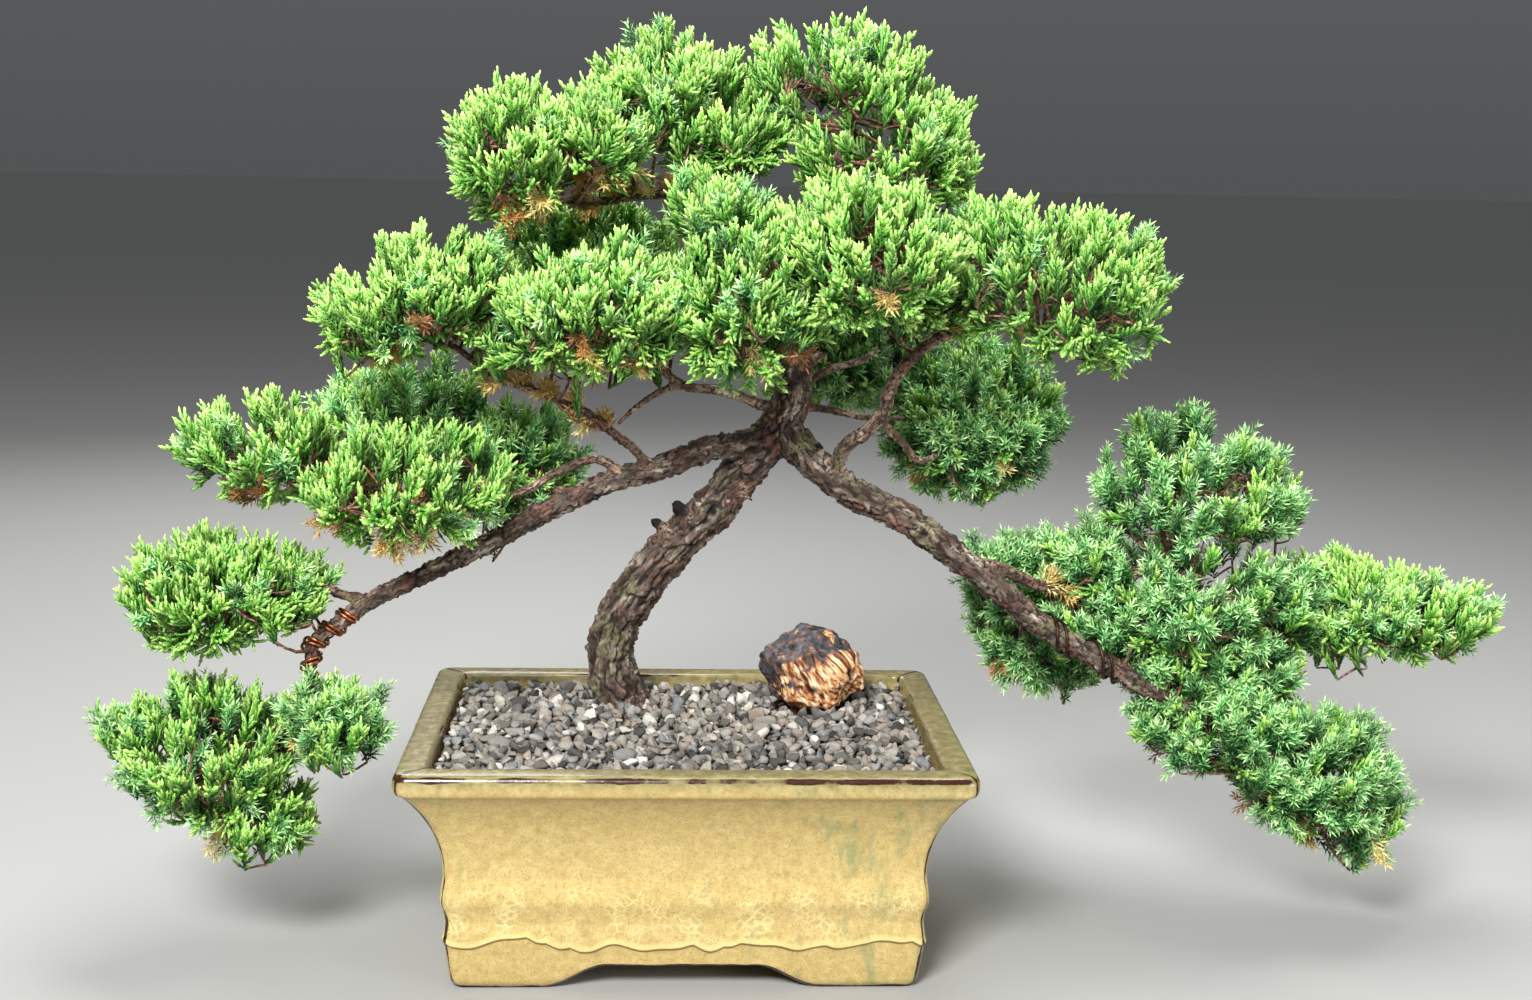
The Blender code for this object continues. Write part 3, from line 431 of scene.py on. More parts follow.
def glaze_material():
    """Mustard glaze fired on stoneware: it pooled thick and broke brown over the edges, which
    gives the eye a glassy, creamy mottle with dark lines on every corner."""
    made, add, feed = new_material("mustard_glaze_on_stoneware", 0.2, ior=1.52)
    place = add("TexCoord", output="Object")
    along, height = add("SeparateXYZ", place, output=("X", "Z"))
    mottle, mottle_tint = add("TexNoise", place, Scale=per_metre(6 * MM), Detail=7.0,
                              Roughness=0.7, output=("Fac", "Color"))
    surface = add("ValToRGB", mottle, stops=[
        (0.30, "#AA935B"), (0.44, "#B59D63"), (0.55, "#BDA66C"), (0.72, "#C8B37B")])
    # Cream threads where the glaze crawled, about 4 mm from thread to thread, and most of them
    # round the bead, where it pooled.
    warped = add("MixRGB", 0.004, place, mottle_tint, blend_type="ADD")
    threads = add("TexVoronoi", warped, Scale=per_metre(4.4 * MM), feature="DISTANCE_TO_EDGE",
                  output="Distance")
    crawled = add("MapRange", add("TexNoise", place, Scale=per_metre(19 * MM), Detail=3.0),
                  0.42, 0.6)
    from_bead = add("Math", height, BEAD_HEIGHT, operation="SUBTRACT")
    from_bead = add("Math", from_bead, operation="ABSOLUTE")
    pooled = add("MapRange", from_bead, 6 * MM, 20 * MM, 0.8, 0.08)
    pooled = add("Math", crawled, pooled, operation="MULTIPLY")
    thread_mask = add("Math", add("MapRange", threads, 0.02, 0.20, 1.0, 0.0), pooled,
                      operation="MULTIPLY")
    # Iron specks, about a millimetre.
    specks = add("TexNoise", place, Scale=per_metre(1.1 * MM), Detail=2.0)
    speck_mask = add("MapRange", specks, 0.53, 0.66, 0.0, 0.42)
    # Green runs: copper in the glaze ran down the walls, more of it towards one end.
    stretched = add("Mapping", place, Scale=(1.0, 1.0, 0.28))
    runs = add("TexNoise", stretched, Scale=per_metre(14 * MM), Detail=7.0, Roughness=0.68)
    towards_end = add("MapRange", along, POT_MIDDLE.x - 20 * MM, POT_HIGH.x - 20 * MM,
                      0.06, -0.05)
    run_mask = add("MapRange", add("Math", runs, towards_end, operation="SUBTRACT"),
                   0.54, 0.68, 0.0, 0.7)
    # The lip took less glaze and fired olive.
    lip_mask = add("MapRange", height, POT_HEIGHT - 10 * MM, POT_HEIGHT - 4 * MM, 0.0, 0.85)
    olive = add("ValToRGB", mottle, stops=[
        (0.34, "#6B6340"), (0.5, "#837A52"), (0.66, "#9E956C")])
    # The run line near the foot: cream above, a thin brown line under it.
    run_line = add("Attribute", attribute_name="run_line", output="Fac")
    cream_mask = add("Math", add("MapRange", run_line, 4.5 * MM, 0.4 * MM, 0.0, 0.6),
                     add("Math", run_line, 0.0, operation="GREATER_THAN"), operation="MULTIPLY")
    line_mask = add("MapRange", add("Math", run_line, operation="ABSOLUTE"),
                    0.95 * MM, 0.35 * MM, 0.0, 0.85)
    # Broken edges, where the glaze drew back and the body burnt dark brown.
    edge = add("Attribute", attribute_name="edge", output="Fac")
    ragged = add("TexNoise", place, Scale=per_metre(24 * MM), Detail=7.0, Roughness=0.66)
    edge_mask = add("MapRange", add("Math", edge, ragged, operation="ADD"), 1.0, 1.1)
    for mask, tint in ((thread_mask, colour("#D8C78C")), (speck_mask, colour("#7C6A2E")),
                       (run_mask, colour("#76845A")), (lip_mask, olive),
                       (cream_mask, colour("#E6D690")), (line_mask, colour("#5E3F1C")),
                       (edge_mask, colour("#33180D"))):
        surface = add("MixRGB", mask, surface, tint)
    pits = add("TexNoise", place, Scale=per_metre(2.6 * MM), Detail=3.0)
    feed(Base_Color=surface, Roughness=add("MapRange", mottle, 0.3, 0.7, 0.13, 0.27),
         Normal=add("Bump", Height=pits, Strength=0.16, Distance=0.5 * MM))
    return made


def bark_material():
    """Old juniper bark: fibrous plates that weather grey-brown and peel, which gives the eye
    long cracks painted dark as painted shade, pale flaking edges and reddish fresh bark between,
    greened by algae."""
    made, add, feed = new_material("flaking_juniper_bark", 0.88)
    grain = add("Attribute", attribute_name="grain", output="Vector")
    painted_crack_shade, young, scar = (add("Attribute", attribute_name=name, output="Fac")
                          for name in ("painted_crack_shade", "young", "scar"))
    place = add("TexCoord", output="Object")
    plates = add("TexNoise", grain, Scale=per_metre(5.5 * MM), Detail=7.0, Roughness=0.68)
    surface = add("ValToRGB", plates, stops=[
        (0.30, "#1B110C"), (0.42, "#3B2C24"), (0.50, "#594A3F"), (0.57, "#7A6C60"),
        (0.66, "#B8AB9D")])
    fresh = add("ValToRGB", plates, stops=[
        (0.30, "#2C1C15"), (0.43, "#553E32"), (0.52, "#7C6253"), (0.59, "#A88C77"),
        (0.68, "#DCC8B2")])
    # Reddish patches where a plate fell off lately, and green-grey algae, tens of millimetres wide.
    patches = add("TexNoise", place, Scale=per_metre(17 * MM), Detail=4.0, Roughness=0.6)
    for mask, tint in ((young, fresh),
                       (add("MapRange", patches, 0.54, 0.66, 0.0, 0.55), colour("#7A4A3C")),
                       (add("MapRange", patches, 0.44, 0.34, 0.0, 0.5), colour("#83805A"))):
        surface = add("MixRGB", mask, surface, tint)
    # Fibres. Real ones are under half a millimetre apart, too fine to show, so these are 1.1 mm.
    fibres = add("TexNoise", grain, Scale=per_metre(1.1 * MM), Detail=3.0, Roughness=0.6)
    surface = add("VectorMath", surface, Scale=add("MapRange", fibres, 0.3, 0.7, 0.62, 1.3),
                  operation="SCALE")
    # Cracks are painted near black: painted shade in them.
    for mask, tint in ((add("MapRange", painted_crack_shade, 0.15, 0.75, 0.0, 0.93), colour("#1E120D")),
                       (scar, colour("#120B09"))):
        surface = add("MixRGB", mask, surface, tint)
    heights = add("Math", plates, fibres, operation="ADD")
    feed(Base_Color=surface, Normal=add("Bump", Height=heights, Strength=0.75, Distance=1 * MM))
    return made


def shoot_material(name, stops):
    """Living juniper shoots: tiny waxed leaves, dark where they are old and fresh yellow-green at
    the growing tips, with painted shade and painted highlights in the colour. The colour follows
    how far along its shoot a leaf sits: partly real age, partly painted shade deeper in the pad,
    with painted highlights on the leaf tips and painted shade in the seams between leaves.
    It follows too how that shoot has been growing, with sprays deep in the pad painted darker and
    the outer ones lighter: painted shade and painted light."""
    made, add, feed = new_material(name, 0.42)
    vigour_and_painted_shade, age = add("SeparateXYZ", add("UVMap", uv_map="OFBake"), output=("X", "Y"))
    # The tone scales the colour: sprays deep in the pad are painted darker as painted shade, the
    # outer ones lighter as painted light.
    shaded = add("VectorMath", add("ValToRGB", age, stops=stops),
                 Scale=add("MapRange", vigour_and_painted_shade, To_Min=0.58, To_Max=1.3), operation="SCALE")
    # Shoots differ a little in hue, whatever their vigour and painted shade.
    warmth = add("Math", add("Math", vigour_and_painted_shade, 7.0, operation="MULTIPLY"), operation="FRACT")
    feed(Base_Color=add("HueSaturation", Color=shaded,
                        Hue=add("MapRange", warmth, To_Min=0.478, To_Max=0.515)))
    return made


def twig_material():
    """Thin twigs inside the pads: smooth young bark, red-brown, with pale dry flecks."""
    made, add, feed = new_material("young_twig_bark", 0.75)
    flecks = add("TexNoise", add("TexCoord", output="Object"), Scale=per_metre(2.2 * MM),
                 Detail=3.0)
    feed(Base_Color=add("ValToRGB", flecks, stops=[
        (0.35, "#3B241A"), (0.52, "#6E4A36"), (0.68, "#A88568")]))
    return made


def dead_needle_material():
    """Dead shoots kept under the pads: dry needles, straw yellow to rust."""
    made, add, feed = new_material("dry_juniper_needles", 0.7)
    age = add("SeparateXYZ", add("UVMap", uv_map="OFBake"))
    feed(Base_Color=add("ValToRGB", age, stops=[
        (0.0, "#7E5230"), (0.3, "#A9793F"), (0.6, "#D6B468"), (1.0, "#E6D892")]))
    return made


def gravel_material():
    """Crushed grey granite chips: each chip one grey, pinkish or bluish tone with fine grain."""
    made, add, feed = new_material("crushed_granite", 0.85)
    place = add("TexCoord", output="Object")
    surface = add("ValToRGB", add("Attribute", attribute_name="chip_tone", output="Fac"), stops=[
        (0.0, "#34312D"), (0.2, "#65615A"), (0.42, "#948F86"), (0.6, "#8F8173"),
        (0.78, "#6E7172"), (0.92, "#ABA59B"), (1.0, "#D2CCC2")])
    grain = add("TexNoise", place, Scale=per_metre(1.2 * MM), Detail=4.0, Roughness=0.7)
    # The lower chips are painted darker: painted shade in the gaps between the chips.
    painted_gap_shade = add("MapRange", add("SeparateXYZ", place, output="Z"), GRAVEL_HIGH.z - 6.5 * MM,
               GRAVEL_HIGH.z - 1 * MM, 0.22, 1.08)
    for shade in (add("MapRange", grain, 0.3, 0.7, 0.72, 1.2), painted_gap_shade):
        surface = add("VectorMath", surface, Scale=shade, operation="SCALE")
    feed(Base_Color=surface, Normal=add("Bump", Height=grain, Strength=0.5, Distance=0.5 * MM))
    return made


def petrified_wood_material():
    """Petrified wood, broken and part tumbled: cream and orange fibres turned to stone, with
    blue-grey chalcedony and pink-brown crust between clefts, pits and hollows painted dark as
    painted shade."""
    made, add, feed = new_material("petrified_wood", 0.55, ior=1.54)
    painted_cleft_shade, crust = (add("Attribute", attribute_name=name, output="Fac")
                    for name in ("painted_cleft_shade", "crust"))
    fibres = add("TexNoise", add("Attribute", attribute_name="fibre", output="Vector"),
                 Scale=per_metre(2.6 * MM), Detail=4.0, Roughness=0.6)
    surface = add("ValToRGB", fibres, stops=[
        (0.38, "#3A1D11"), (0.44, "#87482A"), (0.49, "#C07E4A"), (0.55, "#DDAE78"),
        (0.64, "#F3DDBA")])
    blotches = add("TexNoise", add("TexCoord", output="Object"), Scale=per_metre(5 * MM),
                   Detail=6.0, Roughness=0.7)
    skin = add("ValToRGB", blotches, stops=[
        (0.34, "#111417"), (0.43, "#273036"), (0.5, "#474E54"), (0.54, "#5C3D34"),
        (0.61, "#8E604D"), (0.72, "#D6B092")])
    # Clefts, pits and hollows are painted dark brown: painted shade in them.
    for mask, tint in ((crust, skin), (painted_cleft_shade, colour("#24150F"))):
        surface = add("MixRGB", mask, surface, tint)
    heights = add("Math", fibres, blotches, operation="ADD")
    feed(Base_Color=surface, Normal=add("Bump", Height=heights, Strength=0.6, Distance=0.8 * MM))
    return made


def wire_material(name, stops, roughness, metallic):
    """Annealed wire: drawn metal, softened in the fire, so its skin is dull and uneven in tone
    with a soft shine along the top of each turn."""
    made, add, feed = new_material(name, roughness, metallic)
    tarnish = add("TexNoise", add("TexCoord", output="Object"), Scale=per_metre(6 * MM),
                  Detail=4.0, Roughness=0.65)
    feed(Base_Color=add("ValToRGB", tarnish, stops=stops),
         Roughness=add("MapRange", tarnish, 0.3, 0.7, roughness - 0.08, roughness + 0.14))
    return made


def soil_material():
    """Bonsai soil: fired clay granules and bark crumbs, brown with tan grains 3 mm across."""
    made, add, feed = new_material("granular_bonsai_soil", 0.95)
    depth, tone = add("TexVoronoi", add("TexCoord", output="Object"), Scale=per_metre(3 * MM),
                      output=("Distance", "Color"))
    feed(Base_Color=add("ValToRGB", add("SeparateXYZ", tone), stops=[
             (0.0, "#2E1D14"), (0.5, "#5A3E2B"), (0.85, "#8A6647"), (1.0, "#B08A63")]),
         Normal=add("Bump", Height=depth, Strength=0.8, Distance=1.5 * MM, invert=True))
    return made


def moulded_plastic_material():
    """Injection-moulded polythene screen: near black with a faint matte pebble."""
    made, add, feed = new_material("moulded_polythene", 0.55)
    pebble = add("TexNoise", add("TexCoord", output="Object"), Scale=per_metre(0.8 * MM))
    feed(Base_Color=add("ValToRGB", pebble, stops=[(0.3, "#15180F"), (0.7, "#262A20")]))
    return made


def floor_material():
    """Plain pale matt paint on the studio floor."""
    made, _, _ = new_material("pale_floor_paint", 0.9)
    shader = made.node_tree.nodes["Principled BSDF"]
    shader.inputs["Base Color"].default_value = colour("#9C9C99")
    return made


# ---------------------------------------------------------------- pot

def ring_places():
    """Unit places round a rounded rectangle: the corner each belongs to, the angle in it, and how
    far it has gone along the straight side after it."""
    places = []
    for quadrant in range(4):
        side_length = POT_DEPTH if quadrant % 2 else POT_LENGTH
        for i in range(13):
            places.append((quadrant, i / 12, 0.0))
        steps = round(side_length / (2.2 * MM))
        places += [(quadrant, 1.0, i / steps) for i in range(1, steps)]
    return np.array(places)


def corner_point(quadrant, turn, half_x, half_y, corner):
    sign_x = np.where((quadrant == 0) | (quadrant == 3), 1, -1)
    sign_y = np.where(quadrant <= 1, 1, -1)
    angle = (quadrant + turn) * math.pi / 2
    return np.stack([sign_x * (half_x - corner) + corner * np.cos(angle),
                     sign_y * (half_y - corner) + corner * np.sin(angle)], axis=-1)


def pot_ring(places, inset):
    """x and y from the pot's middle for each place, this far in from the lip's edge."""
    half_x, half_y = POT_LENGTH / 2 - inset, POT_DEPTH / 2 - inset
    corner = np.maximum(POT_CORNER - inset * 0.1, 4 * MM)
    here = corner_point(places[:, 0], places[:, 1], half_x, half_y, corner)
    there = corner_point((places[:, 0] + 1) % 4, np.zeros(len(places)), half_x, half_y, corner)
    return here + (there - here) * places[:, 2:3]


def body_inset(z):
    flare_top = POT_HEIGHT - LIP_THICKNESS
    fall = np.clip((flare_top - z) / (flare_top - WAIST_HEIGHT), 0, 1)
    return LIP_OVERHANG + (WAIST_INSET - LIP_OVERHANG) * (1 - (1 - fall) ** FLARE)


def foot_inset(z):
    """The moulded foot's inset: a smooth curve through the profile's points."""
    insets, heights = np.array(FOOT_PROFILE).T * MM
    fine = np.linspace(0, WAIST_HEIGHT, 240)
    raw = np.interp(fine, heights, insets)
    kernel = np.hanning(23)
    padded = np.pad(raw, 11, mode="edge")
    return np.interp(z, fine, np.convolve(padded, kernel / kernel.sum(), mode="valid"))


def plain_foot_inset(z):
    """The foot without its bead and groove, as it is in the middle of a side."""
    return np.interp(z, np.array([0, 4, 20, 62]) * MM, np.array([27.6, 26.2, 23.9, 23.1]) * MM)


def arch_rise(ring):
    """How high the pot's bottom edge stands at each place: the feet curl up into the arches."""
    x, y = ring.T
    on_long_side = np.abs(y) > POT_DEPTH / 2 - 34 * MM
    middle = np.where(on_long_side, (ARCH_LEFT + ARCH_RIGHT) / 2, 0)
    half = np.where(on_long_side, (ARCH_RIGHT - ARCH_LEFT) / 2, ARCH_HALF_DEPTH)
    inside = half - np.abs(np.where(on_long_side, x, y) - middle)
    curl = smooth_step(inside, -FOOT_CURL * 0.55, FOOT_CURL * 0.45)
    return ARCH_HEIGHT * curl


def make_pot(finish):
    """The whole tray as one closed skin: outside, rolled lip, inside, floor and four feet."""
    places = ring_places()
    outline = pot_ring(places, 0.0)
    edge_run = np.concatenate([[0], np.cumsum(np.linalg.norm(np.diff(outline, axis=0), axis=1))])
    rise = arch_rise(pot_ring(places, 26 * MM))
    # Relief is full at the corners and fades a little towards the middle of each side.
    relief = 0.75 + 0.25 * np.where(places[:, 2] > 0, np.abs(2 * places[:, 2] - 1), 1.0) ** 1.4
    around = len(places)
    rows = []  # each: (inset, height, how far the glaze broke there, is it outside)

    def row(inset, z, edge=0.0, outside=1.0):
        rows.append([np.broadcast_to(value, around) for value in (inset, z, edge, outside)])

    def foot_row(z, rounding=0.0, edge=0.0):
        plain = plain_foot_inset(z)
        row(plain + (foot_inset(z) - plain) * relief + rounding, z, edge)

    foot_inside = 26.5 * MM + FOOT_THICKNESS
    floor_low = ARCH_HEIGHT
    row(foot_inside, floor_low, outside=0)
    row(foot_inside, np.minimum(rise + 1.2 * MM, floor_low), 0.2, 0)
    row(foot_inside - 1.2 * MM, rise, 0.3, 0)
    row(29.5 * MM, rise, 0.3, 0)
    for share in np.arange(12) / 11:
        z = rise + (20 * MM - rise) * share
        foot_row(z, 2 * MM * (1 - min(share * 5, 1)) ** 2,
                 0.7 * (1 - smooth_step(z - rise, 1 * MM, 3.4 * MM)))
    for z in np.arange(21 * MM, WAIST_HEIGHT, 1.2 * MM):
        foot_row(z)
    for z in np.linspace(WAIST_HEIGHT, POT_HEIGHT - LIP_THICKNESS, 26):
        row(body_inset(z), z)
    for inset, drop, edge in LIP_PROFILE:
        row(inset * MM, POT_HEIGHT + drop * MM - 0.1 * MM, edge)
    for z in np.linspace(POT_HEIGHT - 6 * MM, WAIST_HEIGHT, 14):
        row(max(RIM_WIDTH, float(body_inset(z)) + WALL), z, outside=0)
    floor_top = ARCH_HEIGHT + FLOOR_THICKNESS
    row(WAIST_INSET + WALL, floor_top + 4 * MM, outside=0)
    row(WAIST_INSET + WALL + 3 * MM, floor_top, outside=0)

    insets, heights, edges, outside = np.stack(rows, axis=1)
    ring = np.stack([pot_ring(places, inset) for inset in insets])
    points = np.concatenate([ring, heights[..., None]], axis=-1)
    # A hand-pressed pot is never quite true: it swells and dips by a few tenths of a millimetre.
    flat = points.reshape(-1, 3)
    sway = noise(flat / (45 * MM), 3) * 0.5 * MM + noise(flat / (14 * MM), 4) * 0.14 * MM
    outward = unit(np.concatenate([flat[:, :2], np.zeros((len(flat), 1))], axis=1))
    flat = flat - outward * np.abs(sway)[:, None] * outside.reshape(-1, 1)
    # Upright corner edges break brown too, from the foot to under the lip.
    corner_edge = np.where(places[:, 2] == 0, 1 - np.abs(places[:, 1] - 0.5) * 2, 0) ** 1.3
    on_wall = (heights > 2 * MM) & (outside > 0)
    edges = np.maximum(edges, corner_edge[None] * on_wall * 0.68)
    # Where the glaze stopped in a wavy line, and its height above that line everywhere.
    wide, narrow = (np.outer(edge_run / size, (1, 0, 0)) for size in (40 * MM, 24 * MM))
    stopped = (27 * MM + 9 * MM * noise(wide, 8)
               - 7 * MM * np.abs(noise(narrow + (0, 0.5, 0), 9)))
    run_line = heights - np.clip(stopped, 19 * MM, 33 * MM)[None]
    # The glaze stops there in a thick roll.
    roll = (0.75 * MM * np.exp(-((run_line - 1.2 * MM) / (1.7 * MM)) ** 2)
            + 0.25 * MM * (run_line > 0))
    flat = flat + outward * (roll * outside).reshape(-1, 1)
    quads = grid_quads(len(rows), around)
    first_cap = np.arange(around)[::-1][None]
    last_cap = (len(rows) - 1) * around + np.arange(around)[None]
    flat = flat + POT_CENTRE
    pot = make_piece("glazed_pot", flat, [quads, first_cap, last_cap], [finish])
    give_numbers(pot, "edge", edges.ravel())
    give_numbers(pot, "run_line", run_line.ravel())
    cutter = drain_cutter()
    cut = pot.modifiers.new("drain_holes", "BOOLEAN")
    cut.operation, cut.solver, cut.object = "DIFFERENCE", "EXACT", cutter
    settle(pot)
    bpy.data.objects.remove(cutter)
    pot.data.set_sharp_from_angle(angle=math.radians(50))
    stand_for(pot, "pot")
    return pot


def drain_cutter():
    """Two upright round plugs where the drain holes are."""
    heap = Heap()
    for side in (-1, 1):
        centre = np.array([POT_MIDDLE.x + side * DRAIN_SPACING / 2, POT_MIDDLE.y, 0])
        line = centre + np.array([[0, 0, 0], [0, 0, 30 * MM]])
        heap.put(*tube(line, np.full(2, DRAIN_RADIUS), 32))
    points, triangles = heap.all()
    return make_piece("drain_cutter", points, triangles, [])


def settle(obj):
    """Replaces the mesh by what its modifiers make of it."""
    graph = bpy.context.evaluated_depsgraph_get()
    mesh = bpy.data.meshes.new_from_object(obj.evaluated_get(graph), depsgraph=graph)
    obj.modifiers.clear()
    obj.data = mesh


# ---------------------------------------------------------------- wood

def wood_limbs():
    """Every piece of wood, thickest first, as (name, route)."""
    limbs = [("trunk", TRUNK), ("right_limb", RIGHT_LIMB), ("left_limb", LEFT_LIMB)]
    limbs += list(BRANCHES.items())
    limbs += [(f"root_{i}", route) for i, route in enumerate(ROOTS)]
    for i, (foot, way, radius) in enumerate(STUBS):
        tip = np.array(foot) + unit(np.array(way)) * STUB_LENGTH
        limbs.append((f"stub_{i}", [(*foot, radius), (*((np.array(foot) + tip) / 2), radius),
                                    (*tip, radius * 0.8)]))
    return limbs


def wood_lines():
    """Centres, radii, distances and frames of each piece of wood, those inside thicker wood
    left out, for finding where on the wood a point is."""
    lines = []
    for name, route in wood_limbs():
        centres, radii, lengths = smooth_route(route, 2 * MM)
        ahead, side, across = frames_along(centres)
        keep = np.ones(len(centres), bool)
        for other in lines:
            gap = np.linalg.norm(centres[:, None] - other["centres"][None], axis=2)
            keep &= (gap > other["radii"][None] * 0.95).all(axis=1)
        if keep.sum() < 2:
            continue
        lines.append({"name": name, "centres": centres[keep], "radii": radii[keep],
                      "lengths": lengths[keep], "ahead": ahead[keep], "side": side[keep],
                      "across": across[keep]})
    return lines


def make_wood(finish, lines):
    """Trunk, roots and branches grown into one skin, with the bark's cracks and plates in it."""
    heap = Heap()
    for name, route in wood_limbs():
        centres, radii, _ = smooth_route(route, 3 * MM)
        heap.put(*tube(centres, radii, 14))
    points, triangles = heap.all()
    wood = make_piece("bonsai_wood", points, triangles, [finish])
    remesh = wood.modifiers.new("grown_together", "REMESH")
    remesh.mode, remesh.voxel_size = "VOXEL", BARK_VOXEL
    soften = wood.modifiers.new("soft_joins", "SMOOTH")
    soften.factor, soften.iterations = 0.5, 4
    settle(wood)

    mesh = wood.data
    points, normals = read_vectors(mesh, "co"), read_vectors(mesh, "normal")
    joined = {key: np.concatenate([line[key] for line in lines])
              for key in ("centres", "radii", "lengths", "ahead", "side", "across")}
    # Each limb has its own stretch of the bark's pattern.
    start = np.repeat(0.37 * np.arange(len(lines)), [len(line["centres"]) for line in lines])
    tree = KDTree(len(joined["centres"]))
    for i, centre in enumerate(joined["centres"]):
        tree.insert(centre, i)
    tree.balance()
    nearest = np.array([tree.find(p)[1] for p in points])
    offset = points - joined["centres"][nearest]
    radius = joined["radii"][nearest]

    # Straightened coordinates: x and y across the limb, z along it.
    straight = np.stack([np.einsum("ij,ij->i", offset, joined[key][nearest])
                         for key in ("side", "across", "ahead")], axis=1)
    straight[:, 2] += joined["lengths"][nearest] + start[nearest]
    plate = (1.6 * MM + 0.34 * radius)[:, None]  # width of a bark plate
    wander = np.stack([noise(straight / (9 * MM), 21 + k) for k in range(3)], axis=1)
    q = straight / (plate * (1, 1, 3.4)) + wander * 0.35
    first = noise(q, 31)
    second = noise(q * 2.1 + 5, 32)
    deep_crack = np.exp(-(first / 0.10) ** 2)
    fine_crack = np.exp(-(second / 0.10) ** 2)
    flakes = smooth_step(noise(q * (1.3, 1.3, 1.8) + 9, 33), -0.1, 0.35)
    lumps = noise(straight / (radius * 1.6 + 2 * MM)[:, None], 34)
    depth = np.clip(radius * 0.19, 0.3 * MM, 2.6 * MM)
    move = depth * (0.85 * flakes - 1.0 * deep_crack - 0.45 * fine_crack + 0.75 * lumps)
    move += depth * 0.4 * noise(straight / (1.5 * MM * np.array([1, 1, 1.8])), 35)
    scar = np.zeros(len(points))
    for centre, size in SCARS:
        place = np.array(centre) * MM + POT_CENTRE
        gap = np.linalg.norm(points - place, axis=1) / (size * MM)
        scar = np.maximum(scar, 1 - smooth_step(gap, 0.5, 0.95))
        move += (1.5 * MM * np.exp(-((gap - 1.35) / 0.35) ** 2)
                 - 1.8 * MM * (1 - smooth_step(gap, 0.4, 1.1)))
    for foot, way, size in STUBS:
        tip = np.array(foot) + unit(np.array(way)) * STUB_LENGTH
        gap = np.linalg.norm(points - tip * MM - POT_CENTRE, axis=1) / (size * MM)
        scar = np.maximum(scar, 1 - smooth_step(gap, 1.2, 2.2))
    points += normals * move[:, None]
    mesh.vertices.foreach_set("co", points.astype(np.float32).ravel())
    mesh.shade_smooth()
    give_numbers(wood, "grain", straight * (1, 1, 0.3))
    # The cracks, which the bark finish paints dark as painted shade.
    give_numbers(wood, "painted_crack_shade", np.clip(np.maximum(deep_crack, 0.6 * fine_crack), 0, 1))
    give_numbers(wood, "young", 1 - smooth_step(radius, 2.6 * MM, 5.5 * MM))
    give_numbers(wood, "scar", scar)
    stand_for(wood, "trunk_and_branches")
    return wood


# ---------------------------------------------------------------- training wire

def wound(route, start, end, pitch, wire_radius, turn=0.0):
    """A wire's points, wound round a limb between two distances along it."""
    centres, radii, lengths = smooth_route(route, 3 * MM)
    _, side, across = frames_along(centres)
    steps = round((end - start) / pitch * 28)
    along = np.linspace(start, end, steps + 1)

    def at(values):
        return np.stack([np.interp(along, lengths, v) for v in values.T], axis=1)

    size = np.interp(along, lengths, radii) + wire_radius + 2 * WIRE_GAP
    angle = (turn + math.tau * (along - start) / pitch)[:, None]
    return at(centres) + (at(side) * np.cos(angle) + at(across) * np.sin(angle)) * size[:, None]


def distance_along(route, knots):
    return smooth_route(route[:knots + 1], 3 * MM)[2][-1]


def make_wire(name, points, radius, finish):
    """A smooth round wire as one closed tube."""
    verts, triangles = tube(points, np.full(len(points), radius), 12)
    wire = make_piece(name, verts, triangles, [finish])
    stand_for(wire, name)
    wire.name = name + "_wound"


def make_copper_wires(finish):
    start = distance_along(LEFT_LIMB, 10) + 9 * MM
    end = distance_along(LEFT_LIMB, 16) - 7 * MM
    strand = 2 * COPPER_RADIUS + 2 * WIRE_GAP
    for number in (0, 1):
        shift = number * strand
        points = wound(LEFT_LIMB, start + shift, end - strand + shift, COPPER_PITCH, COPPER_RADIUS)
        make_wire(f"left_training_wire_{number + 1}", points, COPPER_RADIUS, finish)


def make_dark_wires(finish):
    start = distance_along(RIGHT_LIMB, 7) - 4 * MM
    end = distance_along(RIGHT_LIMB, 9) + 4 * MM
    for number, turn in ((1, 0.0), (2, math.radians(75))):
        points = wound(RIGHT_LIMB, start, end, DARK_WIRE_PITCH, DARK_WIRE_RADIUS, turn)
        if number == 1:
            points = np.vstack([pigtail(points), points])
        make_wire(f"right_training_wire_{number}", points, DARK_WIRE_RADIUS, finish)


def pigtail(points):
    """A small flat curl in line with the wire's first stretch."""
    ahead = unit(points[0] - points[1])
    down = np.array([0, 0, -1.0])
    away = unit(down - ahead * ahead.dot(down))
    centre = points[0] + away * PIGTAIL_RADIUS
    turn = np.radians(np.arange(300, 5, -12.0))[:, None]
    radius = PIGTAIL_RADIUS * (1 - 0.03 * turn / math.radians(27))
    return centre + (ahead * np.sin(turn) - away * np.cos(turn)) * radius


# ---------------------------------------------------------------- gravel and stone

def ball(levels):
    """Points and triangles of a unit ball made by splitting an icosahedron."""
    made = bmesh.new()
    bmesh.ops.create_icosphere(made, subdivisions=levels, radius=1.0)
    made.verts.ensure_lookup_table()
    points = np.array([v.co for v in made.verts])
    triangles = np.array([[v.index for v in f.verts] for f in made.faces])
    made.free()
    return points, triangles


